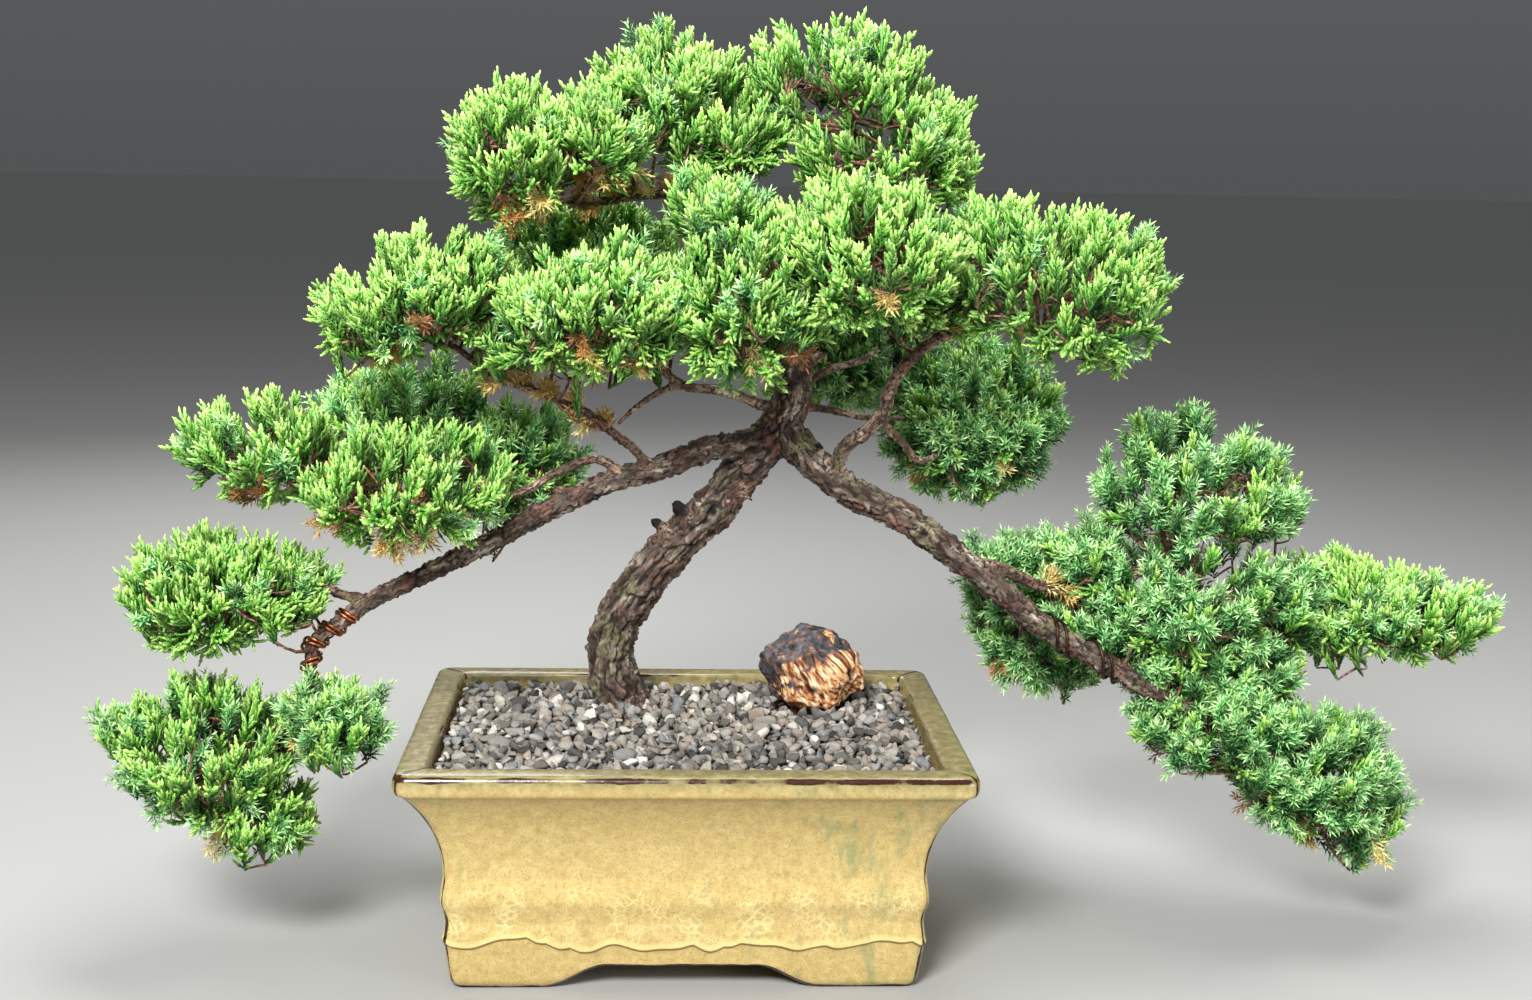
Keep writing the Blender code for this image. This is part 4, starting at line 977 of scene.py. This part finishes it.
def chip_shapes(rng, count):
    """Angular chips of about unit size: balls cut flat by random planes."""
    ball_points, triangles = ball(2)
    shapes = []
    for _ in range(count):
        points = ball_points * rng.uniform((0.85, 0.6, 0.42), (1.25, 0.9, 0.7))
        for _ in range(9):
            normal = unit(rng.normal(size=3))
            depth = rng.uniform(0.22, 0.46)
            over = np.maximum(points @ normal - depth, 0)
            points = points - over[:, None] * normal
        shapes.append(points)
    return np.array(shapes), triangles


def turned(rng, count):
    """Random turns as matrices."""
    q = unit(rng.normal(size=(count, 4)))
    w, x, y, z = q.T
    return np.stack([
        1 - 2 * (y * y + z * z), 2 * (x * y - z * w), 2 * (x * z + y * w),
        2 * (x * y + z * w), 1 - 2 * (x * x + z * z), 2 * (y * z - x * w),
        2 * (x * z - y * w), 2 * (y * z + x * w), 1 - 2 * (x * x + y * y)],
        axis=1).reshape(-1, 3, 3)


def make_gravel(finish):
    """Crushed chips, 4 to 10 mm, lying in three layers on the soil."""
    rng = np.random.default_rng(11)
    shapes, triangles = chip_shapes(rng, 40)
    inside = RIM_WIDTH + 1.5 * MM
    low, high = np.array(POT_LOW)[:2] + inside, np.array(POT_HIGH)[:2] - inside
    stone = middle_of("ornamental_stone")
    trunk = POT_CENTRE[:2] + np.array([-38, 56]) * MM
    places = []
    for layer, spacing in ((0, 6.9 * MM), (1, 7.2 * MM), (2, 8.8 * MM)):
        xs = np.arange(low[0] + 2 * MM, high[0] - 1 * MM, spacing)
        ys = np.arange(low[1] + 2 * MM, high[1] - 1 * MM, spacing)
        gx, gy = np.meshgrid(xs, ys)
        spot = np.stack([gx.ravel(), gy.ravel()], axis=1)
        spot += rng.uniform(-0.46, 0.46, spot.shape) * spacing
        spot = np.clip(spot, low + 2.4 * MM, high - 2.4 * MM)
        level = np.full(len(spot), GRAVEL_HIGH.z - (5.6, 3.2, 1.0)[layer] * MM)
        places.append(np.column_stack([spot, level]))
    places = np.vstack(places)
    # Heaped a little towards the back left, and sunk near the stone and the front right.
    share = (places[:, :2] - low) / (high - low)
    heap = 1.9 * MM * (share[:, 1] - share[:, 0] * 0.6)
    places[:, 2] += heap + noise(places / (26 * MM), 5) * 1.3 * MM
    size = rng.uniform(4.4, 7.8, len(places)) * MM
    size *= np.where(rng.random(len(places)) < 0.15, 1.25, 1.0)
    from_trunk = np.linalg.norm(places[:, :2] - trunk, axis=1)
    from_stone = np.linalg.norm((places[:, :2] - (stone.x, stone.y)) / (27 * MM, 19 * MM), axis=1)
    keep = (from_trunk > 15 * MM) & (from_stone > 0.9)
    places, size = places[keep], size[keep]
    wall_room = np.minimum(places[:, :2] - low, high - places[:, :2]).min(axis=1)
    size = np.minimum(size, wall_room + 1.2 * MM)
    count = len(places)
    which = rng.integers(0, len(shapes), count)
    turns = turned(rng, count)
    local = shapes[which] * (size * 0.98)[:, None, None]
    local = np.einsum("nij,nkj->nki", turns, local)
    local[:, :, 2] *= 0.85
    points = local + places[:, None]
    per = shapes.shape[1]
    gravel = make_piece("granite_chips", points.reshape(-1, 3), repeated(triangles, count, per),
                        [finish], smooth=False)
    give_numbers(gravel, "chip_tone", np.repeat(rng.random(count), per))
    stand_for(gravel, "gravel")


def make_stone(finish):
    """A rounded piece of petrified wood, its fibres standing nearly upright at the front."""
    points, triangles = ball(6)
    centre = np.array(middle_of("ornamental_stone"))
    half = np.array(STONE_HIGH - STONE_LOW) / 2
    lean = np.array(Matrix.Rotation(math.radians(30), 3, "Y"))
    fibre = points @ lean.T
    facing = -0.45 * points[:, 1] - 0.55 * points[:, 2] + 0.6 * points[:, 0]
    front = smooth_step(facing + 0.6 * layered_noise(points * 2.4, 3, 41), 0.02, 0.12)
    wavy = fibre + 0.07 * np.stack([noise(points * 2.6, 42 + k) for k in range(3)], axis=1)
    streaks = noise(wavy * (7.5, 7.5, 0.9), 45)
    fine_streaks = noise(wavy * (17, 17, 1.8), 46)
    clefts = (np.exp(-(streaks / 0.075) ** 2) * front
              * smooth_step(noise(points * 2.4, 50), -0.35, 0.0))
    lumps = layered_noise(points * 1.7, 2, 47)
    nubs = layered_noise(points * 6.5, 3, 48)
    pits = np.exp(-(noise(points * 4.0, 49) / 0.05) ** 2) * (1 - front)
    hollows = np.zeros(len(points))
    for place, size in STONE_HOLLOWS:
        gap = np.linalg.norm((wavy - lean @ np.array(place)) * (1, 1, 0.5), axis=1) / size
        hollows = np.maximum(hollows, 1 - smooth_step(gap, 0.35, 1.0))
    swell = (0.98 + 0.17 * lumps + 0.035 * nubs * (1 - front * 0.6) - 0.045 * clefts
             + 0.028 * streaks * front + 0.02 * fine_streaks * front - 0.03 * pits - 0.11 * hollows)
    # A nub that stands out on the left, with a waist under it, and a slope down to the right.
    swell += 0.20 * np.exp(-((points - (-0.90, -0.22, 0.38)) ** 2).sum(axis=1) / 0.045)
    swell -= 0.15 * np.exp(-((points - (-0.82, -0.45, -0.30)) ** 2).sum(axis=1) / 0.10)
    swell -= 0.13 * np.exp(-((points - (0.62, -0.25, 0.74)) ** 2).sum(axis=1) / 0.14)
    shape = centre + points * half * swell[:, None]
    shape[:, 2] = np.maximum(shape[:, 2], STONE_LOW.z)
    stone = make_piece("petrified_wood_stone", shape, triangles, [finish])
    # Where the surface sinks into clefts, pits and hollows, which the finish paints dark as painted
    # shade.
    give_numbers(stone, "painted_cleft_shade", np.clip(clefts * 0.95 + pits * 0.6 + hollows * 1.1, 0, 0.96))
    give_numbers(stone, "crust", np.clip(1 - front, 0, 1))
    give_numbers(stone, "fibre", wavy * half * (1, 1, 0.12))
    stand_for(stone, "ornamental_stone")


# ---------------------------------------------------------------- foliage

# How each kind of shoot grows. Lengths in mm, splay in degrees.
SCALE_SHOOT = {"finger": (6.5, 12.5), "axis": (15, 25), "fingers": 13, "open": 38, "thick": 1.75}
NEEDLE_SHOOT = {"finger": (7, 11), "axis": (18, 26), "fingers": 8, "open": 44, "stem": 0.6,
                "leaf": 6.4, "width": 1.35, "whorl": 2.0, "leaves": 3, "splay": 52, "tip_splay": 30}
TONE_ENDS = 0.004, 0.996  # kept off the very ends, where a baked colour would wrap round
CORD_SWELL = (0.8, 1.05, 1.1, 1.05, 0.92, 0.6)  # a cord's thickness from foot to tip
NEEDLE_SHARE = {"foliage_right_rear": 0.75, "foliage_far_right": 0.7, "foliage_right_under": 0.9,
                "foliage_far_right_hanging": 0.75, "foliage_rear": 0.6, "foliage_left_rear": 0.4,
                "foliage_far_right_tip": 0.25, "foliage_left_spur": 0.5, "foliage_centre": 0.15,
                "foliage_left_rear_upper": 0.3, "foliage_left_hanging": 0.2}
SPRAYS_PER_AREA = 0.0135  # for each square millimetre of a pad's skin
SPRAY_TRIANGLES = (628, 395)  # in a spray of scale leaves, and in one of needles
MOST_TRIANGLES = 190_000  # in one pad
# Shoots that close the gaps between pads: eggs of (middle, half size) in mm, and the share of
# needle shoots in them.
BRIDGES = {
    "shoots_between_crown_pads": (0.1, [
        ((8, -10, 372), (38, 32, 24)), ((72, -8, 396), (32, 30, 22)),
        ((136, -26, 366), (24, 28, 20)), ((-90, -30, 340), (30, 28, 15))]),
    "shoots_between_right_pads": (0.7, [
        ((300, 4, 150), (56, 34, 30)), ((248, 10, 178), (36, 30, 26)),
        ((372, 24, 184), (32, 30, 20)), ((228, 16, 214), (22, 24, 22))])}
BRIDGE_SPRAYS = 0.0075  # for each square millimetre of an egg's skin
LUMP_SIZE, LUMP_HEIGHT = 28 * MM, 12 * MM  # the tufts that a pad breaks up into
# How much deeper the hollows between the tufts go than the tufts stand out.
HOLLOWS = {"foliage_rear": 3.2, "foliage_left_hanging": 3.0, "foliage_right_under": 2.6,
           "foliage_far_right_hanging": 2.4, "foliage_left_spur": 2.4}
HOLLOW = 1.8  # in the other pads
USUAL_NEEDLE_SHARE, USUAL_DRY_SHARE = 0.06, 0.04  # in the other pads
DRY_FINISH, TWIG_FINISH = 2, 3  # where these two stand among a pad's finishes
INNER_SHARE = 0.2  # of the sprays, deeper in the pad
# Pads with dry shoots under them, and how many of the sprays below are dry.
DRY_SHARE = {"foliage_centre_left": 0.22, "foliage_left_middle": 0.16, "foliage_left_upper": 0.2,
             "foliage_top_middle": 0.16, "foliage_top_left": 0.14, "foliage_centre": 0.14,
             "foliage_left_hanging": 0.1}
# Stretches of wood dressed with shoots: pad, route, where from and to along it, and how many.
DRY_TWIGS = [("foliage_left_upper", "left_upper_twig", 0.2, 0.62, 11),
             ("foliage_left_middle", "left_middle_twig", 0.35, 0.8, 12),
             ("foliage_centre_left", "front_twig", 0.62, 0.95, 8),
             ("foliage_top_left", "top_left_branch", 0.45, 0.8, 12),
             ("foliage_far_right", "far_right_branch", 0.3, 0.6, 6)]


def pad_surface(node):
    """Triangles of a pad: their corners, normals and areas."""
    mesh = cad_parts[node].data
    corners = read_vectors(mesh, "co")[read_triangles(mesh)]
    cross = np.cross(corners[:, 1] - corners[:, 0], corners[:, 2] - corners[:, 0])
    area = np.linalg.norm(cross, axis=1) / 2
    return corners, unit(cross), area


def spray_places(rng, corners, normals, area, count):
    """Random places on a pad's skin, fewer below than above, with the normal at each."""
    weight = area * np.where(normals[:, 2] < -0.35, 0.45, 1.0)
    pick = rng.choice(len(area), size=count, p=weight / weight.sum())
    a, b = rng.random((2, count, 1))
    flip = (a + b > 1)
    a, b = np.where(flip, 1 - a, a), np.where(flip, 1 - b, b)
    tri = corners[pick]
    return tri[:, 0] + a * (tri[:, 1] - tri[:, 0]) + b * (tri[:, 2] - tri[:, 0]), normals[pick]


def egg_places(rng, middle, half):
    """Random places on an egg between pads, with the normal at each."""
    half = np.array(half) * MM
    area = 4 * math.pi * np.mean([half[0] * half[1], half[1] * half[2], half[0] * half[2]])
    ways = unit(rng.normal(size=(int(area * 1e6 * BRIDGE_SPRAYS), 3)))
    centre = np.array(middle) * MM + POT_CENTRE
    return centre + ways * half, unit(ways / half)


def bridge_places(rng, eggs):
    return [np.vstack(rows) for rows in zip(*(egg_places(rng, *egg) for egg in eggs))]


def pad_places(rng, node, needle_share):
    """Random places on a pad's skin, as many as the pad may hold, with the normal at each."""
    corners, normals, area = pad_surface(node)
    spray_size = np.dot(SPRAY_TRIANGLES, (1 - needle_share, needle_share))
    count = min(int(area.sum() * 1e6 * SPRAYS_PER_AREA), int(MOST_TRIANGLES / spray_size))
    return spray_places(rng, corners, normals, area, count)


def dry_twig_places(rng, node):
    """Places along the bare twigs of a pad that keep dry shoots, with a way out at each."""
    rows = []
    for pad, twig, start, end, count in DRY_TWIGS:
        if pad == node:
            centres, _, lengths = smooth_route(BRANCHES[twig], 2 * MM)
            along = rng.uniform(start, end, count) * lengths[-1]
            at = np.stack([np.interp(along, lengths, v) for v in centres.T], axis=1)
            ahead = unit(centres[-1] - centres[0])
            rows.append((at, unit(rng.normal(size=(count, 3)) * 0.55 + ahead)))
    return [np.vstack(r) for r in zip(*rows)] if rows else (np.empty((0, 3)), np.empty((0, 3)))


def across_from(direction, hint):
    """A unit direction across each direction, as near to the hint as it can be."""
    return unit(hint - direction * np.einsum("ij,ij->i", hint, direction)[:, None])


def spread_fingers(rng, base, direction, facing, kind, reach):
    """Each spray's axis and side fingers, as rows of base, direction, length and place."""
    count = len(base)
    up = np.array([0, 0, 1.0])
    flat_way = np.cross(direction, facing) + rng.normal(size=(count, 3)) * 0.45
    flat_way = across_from(direction, flat_way)
    rows = [(base, direction, reach, np.full(count, 0.35))]
    for i in range(kind["fingers"]):
        along = (i + 1.2) / (kind["fingers"] + 1.4)
        side = 1 if i % 2 else -1
        roll = rng.uniform(-0.9, 0.9, count)[:, None]
        third = np.cross(direction, flat_way)
        sideways = unit(flat_way * side * np.cos(roll) + third * np.sin(roll))
        opening = np.radians(kind["open"] + rng.uniform(-12, 12, count))[:, None]
        way = unit(direction * np.cos(opening) + sideways * np.sin(opening) + up * 0.12)
        length = rng.uniform(*kind["finger"], count) * MM * (1.12 - 0.45 * along)
        foot = base + direction * (reach * along)[:, None]
        rows.append((foot, way, length, np.full(count, along)))
    return [np.concatenate([row[k] for row in rows]) for k in range(4)]


def finger_frame(rng, way, rise):
    """Two directions across each finger, and how far its tip bends upwards."""
    side = across_from(way, rng.normal(size=way.shape))
    return side, np.cross(way, side), across_from(way, np.tile([0, 0, 1.0], (len(way), 1))) * rise


def cord_mesh(rng, foot, way, length, place, tone, kind):
    """Scale-leaf fingers: cords with four rows of blunt leaves, each pair turned a quarter from
    the last, their tips standing a little off. Returns points, triangles and, for each point,
    how the finger grew and how old the leaf is, with painted highlights on the leaf tips and
    painted shade in the seams."""
    rings, rows = len(CORD_SWELL), 4
    side, third, bend = finger_frame(rng, way, 0.2)
    thick = kind["thick"] * MM / 2 * rng.uniform(0.85, 1.2, len(foot)) * (0.86 + 0.14 * place)
    points = np.empty((len(foot), rings * rows + 1, 3))
    spots = np.empty((len(foot), rings * rows + 1, 2))
    for ring, swell in enumerate(CORD_SWELL):
        along = ring / rings
        for row in range(rows):
            turn = math.tau * row / rows
            out = side * math.cos(turn) + third * math.sin(turn)
            leaf_tip = (ring + row) % 2 == 0
            radius = thick * swell * (1.3 if leaf_tip else 0.74)
            forward = along + (0.5 / rings if leaf_tip else 0.0)
            at = ring * rows + row
            points[:, at] = (foot + (way * forward + bend * forward ** 2) * length[:, None]
                             + out * radius[:, None])
            spots[:, at, 0] = tone + (0.006, 0.0, -0.006, 0.0)[row]
            # Leaf tips are painted lighter as painted highlights and the seams between leaves
            # darker as painted shade; the colour also darkens towards the spray's foot, partly real
            # age and partly painted shade deeper in the pad.
            spots[:, at, 1] = (0.06 + 0.32 * place + 0.42 * along + (0.19 if leaf_tip else -0.13)
                               + rng.normal(size=len(foot)) * 0.03)
    points[:, -1] = foot + (way + bend) * length[:, None]
    spots[:, -1, 0] = tone
    spots[:, -1, 1] = 0.68 + 0.32 * place
    triangles = []
    for ring in range(rings - 1):
        for row in range(rows):
            a, b = ring * rows + row, ring * rows + (row + 1) % rows
            c, d = b + rows, a + rows
            triangles += [(a, b, c), (a, c, d)] if (ring + row) % 2 == 0 else [(a, b, d), (b, c, d)]
    last = (rings - 1) * rows
    triangles += [(last + row, last + (row + 1) % rows, rings * rows) for row in range(rows)]
    triangles = repeated(triangles, len(foot), points.shape[1])
    return points.reshape(-1, 3), triangles, np.clip(spots.reshape(-1, 2), *TONE_ENDS)


def leaf_mesh(rng, foot, way, length, place, tone, kind):
    """Needles in whorls along each finger: each a thin pointed blade folded along its keel, so
    it opens like a V. Returns the same as cord_mesh."""
    whorl = kind["whorl"] * MM
    counts = np.maximum(2, np.round(length / whorl).astype(int))
    finger = np.repeat(np.arange(len(foot)), counts)
    step = np.arange(len(finger)) - np.repeat(np.cumsum(counts) - counts, counts)
    along = (step + 0.5) / counts[finger]
    side, third, bend = finger_frame(rng, way, 0.16)
    points, spots = [], []
    leaves = kind["leaves"]
    for k in range(leaves):
        turn = (math.tau * k / leaves + (step % 2) * math.pi / leaves
                + rng.uniform(-0.25, 0.25, len(finger)))[:, None]
        out = side[finger] * np.cos(turn) + third[finger] * np.sin(turn)
        splay = np.radians(kind["splay"] + (kind["tip_splay"] - kind["splay"]) * along ** 2
                           + rng.uniform(-6, 6, len(finger)))[:, None]
        line = way[finger] + bend[finger] * along[:, None]
        leaf_way = unit(unit(line) * np.cos(splay) + out * np.sin(splay))
        tangent = np.cross(way[finger], out)
        size = (kind["leaf"] * MM * (1.0 - 0.35 * along ** 3)
                * (0.62 + 0.38 * np.minimum(along * 4, 1))
                * rng.uniform(0.88, 1.12, len(finger)))[:, None]
        width = kind["width"] * MM * 0.5 * (1 - 0.25 * along[:, None] ** 2)
        root = foot[finger] + (way[finger] * along[:, None]
                               + bend[finger] * along[:, None] ** 2) * length[finger][:, None]
        root = root + out * (kind["stem"] * MM * 0.35)
        belly = root + leaf_way * size * 0.42
        keel = out * width * 0.55
        points.append(np.stack([
            root - keel * 0.2, root + leaf_way * size,
            belly - tangent * width - keel, belly + tangent * width - keel], axis=1))
        # The needles' colour darkens towards the spray's foot, partly real age and partly painted
        # shade deeper in the pad; each root is painted darker as painted shade and each tip lighter
        # as a painted highlight.
        age = 0.08 + 0.36 * place[finger] + 0.5 * along + rng.normal(size=len(finger)) * 0.06
        tint = tone[finger]
        ages_with_painted_light = np.stack([age - 0.2, age + 0.16, age, age], axis=1)
        spread = np.stack([tint, tint, tint - 0.006, tint + 0.006], axis=1)
        spots.append(np.stack([spread, ages_with_painted_light], axis=-1))
    points = np.concatenate(points).reshape(-1, 3)
    spots = np.clip(np.concatenate(spots).reshape(-1, 2), *TONE_ENDS)
    return points, repeated([[0, 1, 2], [0, 3, 1]], len(points) // 4, 4), spots


def stem_mesh(foot, way, length, radius):
    """A three-sided tapering stem for each finger."""
    side = across_from(way, np.tile([0.3, 0.2, 1.0], (len(way), 1)))
    third = np.cross(way, side)
    ring = [side * math.cos(a) + third * math.sin(a) for a in (0, math.tau / 3, 2 * math.tau / 3)]
    points = np.stack([foot + r * radius for r in ring] + [foot + way * length[:, None]], axis=1)
    pattern = [[0, 1, 3], [1, 2, 3], [2, 0, 3], [0, 2, 1]]
    return points.reshape(-1, 3), repeated(pattern, len(foot), 4)


def put_twigs(rng, bases, anchors, heap, finish):
    """Twigs that carry the sprays: a few run out from the wood, each spray joins the nearest."""
    count = max(4, len(bases) // 11)
    mains = [int(rng.integers(len(bases)))]
    gap = np.linalg.norm(bases - bases[mains[0]], axis=1)
    for _ in range(count - 1):
        mains.append(int(gap.argmax()))
        gap = np.minimum(gap, np.linalg.norm(bases - bases[mains[-1]], axis=1))
    carriers = [anchors]
    for main in mains:
        end = bases[main]
        start = anchors[np.linalg.norm(anchors - end, axis=1).argmin()]
        t = np.linspace(0, 1, 9)[:, None]
        sag = rng.normal(size=3) * 0.05 * np.linalg.norm(end - start) + (0, 0, -0.002)
        line = start + (end - start) * t + np.sin(t * math.pi) * sag
        line += noise(line / (7 * MM) + main, 50)[:, None] * 1.2 * MM * np.sin(t * math.pi)
        heap.put(*tube(line, np.linspace(1.25, 0.7, 9) * MM, 5), finish)
        carriers.append(line[2:])
    carriers = np.vstack(carriers)
    for base in bases:
        start = carriers[np.linalg.norm(carriers - base, axis=1).argmin()]
        span = np.linalg.norm(base - start)
        if span < 1 * MM:
            continue
        t = np.linspace(0, 1, 4)[:, None]
        line = start + (base - start) * t + np.sin(t * math.pi) * rng.normal(size=3) * 0.08 * span
        heap.put(*tube(line, np.linspace(0.8, 0.55, 4) * MM, 4), finish)


def make_foliage(name, places, seed, needle_share, finishes, wood_centres, node=None):
    """A mass of shoots on its own twigs, grown out to the places it is given."""
    rng = np.random.default_rng(seed)
    spots, way_out = places(rng)
    low, high = spots.min(axis=0), spots.max(axis=0)
    middle = (low + high) / 2 - (0, 0, 0.2 * (high[2] - low[2]))
    below = way_out[:, 2] < -0.35
    total = len(spots)
    inner = rng.random(total) < INNER_SHARE
    up = np.where(below[:, None], 0.15, 0.75)
    direction = unit(way_out * 0.45 + unit(spots - middle) * 0.45 + np.array([0, 0, 1.0]) * up
                     + rng.normal(size=(total, 3)) * 0.22)
    lump = layered_noise(spots / LUMP_SIZE, 2, seed)
    poke = np.where(inner, rng.uniform(-12, -5, total), rng.uniform(-1, 5, total)) * MM
    deeper = np.where(lump < 0, HOLLOWS.get(node, HOLLOW), 1.0)
    poke = poke + np.where(below, 0.3, 1.0) * LUMP_HEIGHT * lump * deeper
    needle = rng.random(total) < needle_share
    dry = (way_out[:, 2] < -0.5) & (rng.random(total) < DRY_SHARE.get(node, USUAL_DRY_SHARE))
    dry_spots, dry_ways = dry_twig_places(rng, node)
    heap, bases = Heap(), []
    for kind, grow, chosen, finish in (
            (SCALE_SHOOT, cord_mesh, ~needle & ~dry, 0),
            (NEEDLE_SHOOT, leaf_mesh, needle & ~dry, 1),
            (NEEDLE_SHOOT, leaf_mesh, dry, DRY_FINISH)):
        if not chosen.any():
            continue
        ways, facing = direction[chosen], way_out[chosen]
        reach = rng.uniform(*kind["axis"], chosen.sum()) * MM
        base = spots[chosen] + ways * (poke[chosen] - reach)[:, None]
        # No twig hangs out under the pad.
        lowest = np.where(facing[:, 2] < 0, spots[chosen, 2] - 1 * MM, -np.inf)
        base[:, 2] = np.maximum(base[:, 2], lowest)
        # Sprays deeper in the pad get a low tone, which the shoot finish paints darker: painted
        # shade inside the pad.
        tone = np.where(inner[chosen], 0.15, 0.55) + rng.normal(size=len(base)) * 0.17
        if finish == DRY_FINISH:
            tone = np.append(rng.random(len(base)), rng.uniform(0.4, 1, len(dry_spots)))
            base, ways = np.vstack([base, dry_spots]), np.vstack([ways, dry_ways])
            facing = np.vstack([facing, dry_ways])
            reach = np.append(reach, np.full(len(dry_spots), 9 * MM))
        bases.append(base)
        foot, way, length, place = spread_fingers(rng, base, ways, facing, kind, reach)
        tone = np.tile(tone, kind["fingers"] + 1)
        tone = np.clip(tone + rng.normal(size=len(tone)) * 0.03, 0.02, 0.98)
        points, triangles, tones = grow(rng, foot, way, length, place, tone, kind)
        heap.put(points, triangles, finish, tones)
        if grow is leaf_mesh:
            stem_tone = np.stack([tone, np.full(len(tone), 0.16)], axis=1)
            heap.put(*stem_mesh(foot, way, length * 0.96, kind["stem"] * MM * 0.5), finish,
                     np.repeat(stem_tone, 4, axis=0))
    near = ((wood_centres > low - 20 * MM) & (wood_centres < high + 20 * MM)).all(axis=1)
    put_twigs(rng, np.vstack(bases), wood_centres[near], heap, TWIG_FINISH)
    points, triangles = heap.all()
    pad = make_piece(name, points, triangles, finishes, np.concatenate(heap.finishes), smooth=False)
    layer = pad.data.uv_layers.new(name="OFBake")
    tones = np.vstack(heap.tones)[triangles.ravel()]
    layer.data.foreach_set("uv", tones.astype(np.float32).ravel())
    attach(pad, "root")
    if node:
        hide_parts(node)


# ---------------------------------------------------------------- stage

FLOOR_REACH = 60.0  # metres, so that its edge lies at the horizon
FLOOR_GAP = 0.2 * MM  # under the feet


def make_floor(finish):
    corners = np.array([(-1, -1, 0), (1, -1, 0), (1, 1, 0), (-1, 1, 0)]) * FLOOR_REACH
    floor = make_piece("studio_floor", corners - (0, 0, FLOOR_GAP), np.array([[0, 1, 2, 3]]),
                       [finish])


def add_light(name, place, size, watts):
    light = bpy.data.lights.new(name, "AREA")
    light.shape, light.size, light.size_y = "RECTANGLE", size[0], size[1]
    light.energy = watts
    obj = bpy.data.objects.new(name, light)
    obj.location = place
    target = Vector((POT_MIDDLE.x, POT_MIDDLE.y, 0.25))
    obj.rotation_euler = (target - Vector(place)).to_track_quat("-Z", "Y").to_euler()
    bpy.context.scene.collection.objects.link(obj)


def add_studio():
    world = bpy.data.worlds.new("studio")
    world.use_nodes = True
    add = partial(add_node, world.node_tree)
    sky = world.node_tree.nodes["Background"]
    sky.inputs["Color"].default_value = colour("#E4E7EA")
    # A soft dome, brighter overhead than round the sides.
    way_up = add("SeparateXYZ", add("TexCoord", output="Generated"), output="Z")
    feed_shader(world.node_tree, sky, Strength=add("MapRange", way_up, To_Min=0.11, To_Max=0.34))
    bpy.context.scene.world = world
    bpy.context.scene.view_settings.view_transform = "Standard"
    add_light("key", (-0.6, -1.5, 1.3), (0.6, 0.45), 65)
    add_light("fill", (1.4, -1.2, 0.6), (0.8, 0.8), 16)
    add_light("top", (0.1, 0.2, 1.7), (1.0, 0.8), 30)
    add_light("rear", (-0.6, 1.5, 1.2), (0.9, 0.7), 12)


def add_camera():
    yaw, pitch, roll = CAMERA_YAW, CAMERA_PITCH, CAMERA_ROLL
    forward = Vector((math.sin(yaw) * math.cos(pitch), math.cos(yaw) * math.cos(pitch),
                      -math.sin(pitch)))
    level = Vector((math.cos(yaw), -math.sin(yaw), 0))
    right = level * math.cos(roll) + level.cross(forward) * math.sin(roll)
    up = right.cross(forward)
    camera = bpy.data.objects.new("camera", bpy.data.cameras.new("camera"))
    camera.data.lens = CAMERA_LENS
    camera.data.sensor_width = 36
    camera.data.clip_start = 0.01
    turn = Matrix((right, up, -forward)).transposed().to_4x4()
    place = Vector(POT_CENTRE) + Vector(CAMERA_FROM_POT)
    camera.matrix_world = Matrix.Translation(place) @ turn
    bpy.context.scene.collection.objects.link(camera)
    bpy.context.scene.camera = camera


def finish_node(node, finish):
    """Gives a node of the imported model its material."""
    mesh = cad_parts[node].data
    mesh.materials.clear()
    mesh.materials.append(finish)


def main():
    add_camera()
    add_studio()
    make_floor(floor_material())
    make_pot(glaze_material())
    lines = wood_lines()
    make_wood(bark_material(), lines)
    make_copper_wires(wire_material("annealed_copper_wire", [
        (0.3, "#6E3A22"), (0.5, "#A8623C"), (0.7, "#D08E62")], 0.36, 1.0))
    make_dark_wires(wire_material("tarnished_copper_wire", [
        (0.3, "#241712"), (0.5, "#3E2A22"), (0.7, "#5E4234")], 0.42, 0.9))
    make_gravel(gravel_material())
    make_stone(petrified_wood_material())
    finish_node("soil", soil_material())
    plastic = moulded_plastic_material()
    steel = wire_material("galvanised_steel_wire", [(0.3, "#8B8F92"), (0.7, "#B9BDC0")], 0.38, 1.0)
    for side in ("left", "right"):
        finish_node(f"drainage_screen_{side}", plastic)
        finish_node(f"screen_staple_{side}", steel)
    # The shoot ramps' darkest stops are partly painted shade and their palest stops partly painted
    # highlights.
    leaf_finishes = [
        shoot_material("scale_leaf_shoots", [
            (0.0, "#041C02"), (0.28, "#245612"), (0.52, "#649E39"), (0.78, "#B0DC72"),
            (1.0, "#E2FBA8")]),
        shoot_material("needle_leaf_shoots", [
            (0.0, "#06220C"), (0.28, "#2C6630"), (0.50, "#6DB062"), (0.74, "#B2E498"),
            (1.0, "#DEFBB6")]),
        dead_needle_material(), twig_material()]
    wood_centres = np.vstack([line["centres"] for line in lines
                              if not line["name"].startswith("root")])
    for i, node in enumerate(sorted(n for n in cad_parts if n.startswith("foliage_"))):
        share = NEEDLE_SHARE.get(node, USUAL_NEEDLE_SHARE)
        make_foliage(node + "_shoots", partial(pad_places, node=node, needle_share=share),
                     100 + i, share, leaf_finishes, wood_centres, node)
    for i, (name, (share, eggs)) in enumerate(BRIDGES.items()):
        make_foliage(name, partial(bridge_places, eggs=eggs), 200 + i, share, leaf_finishes,
                     wood_centres)


main()
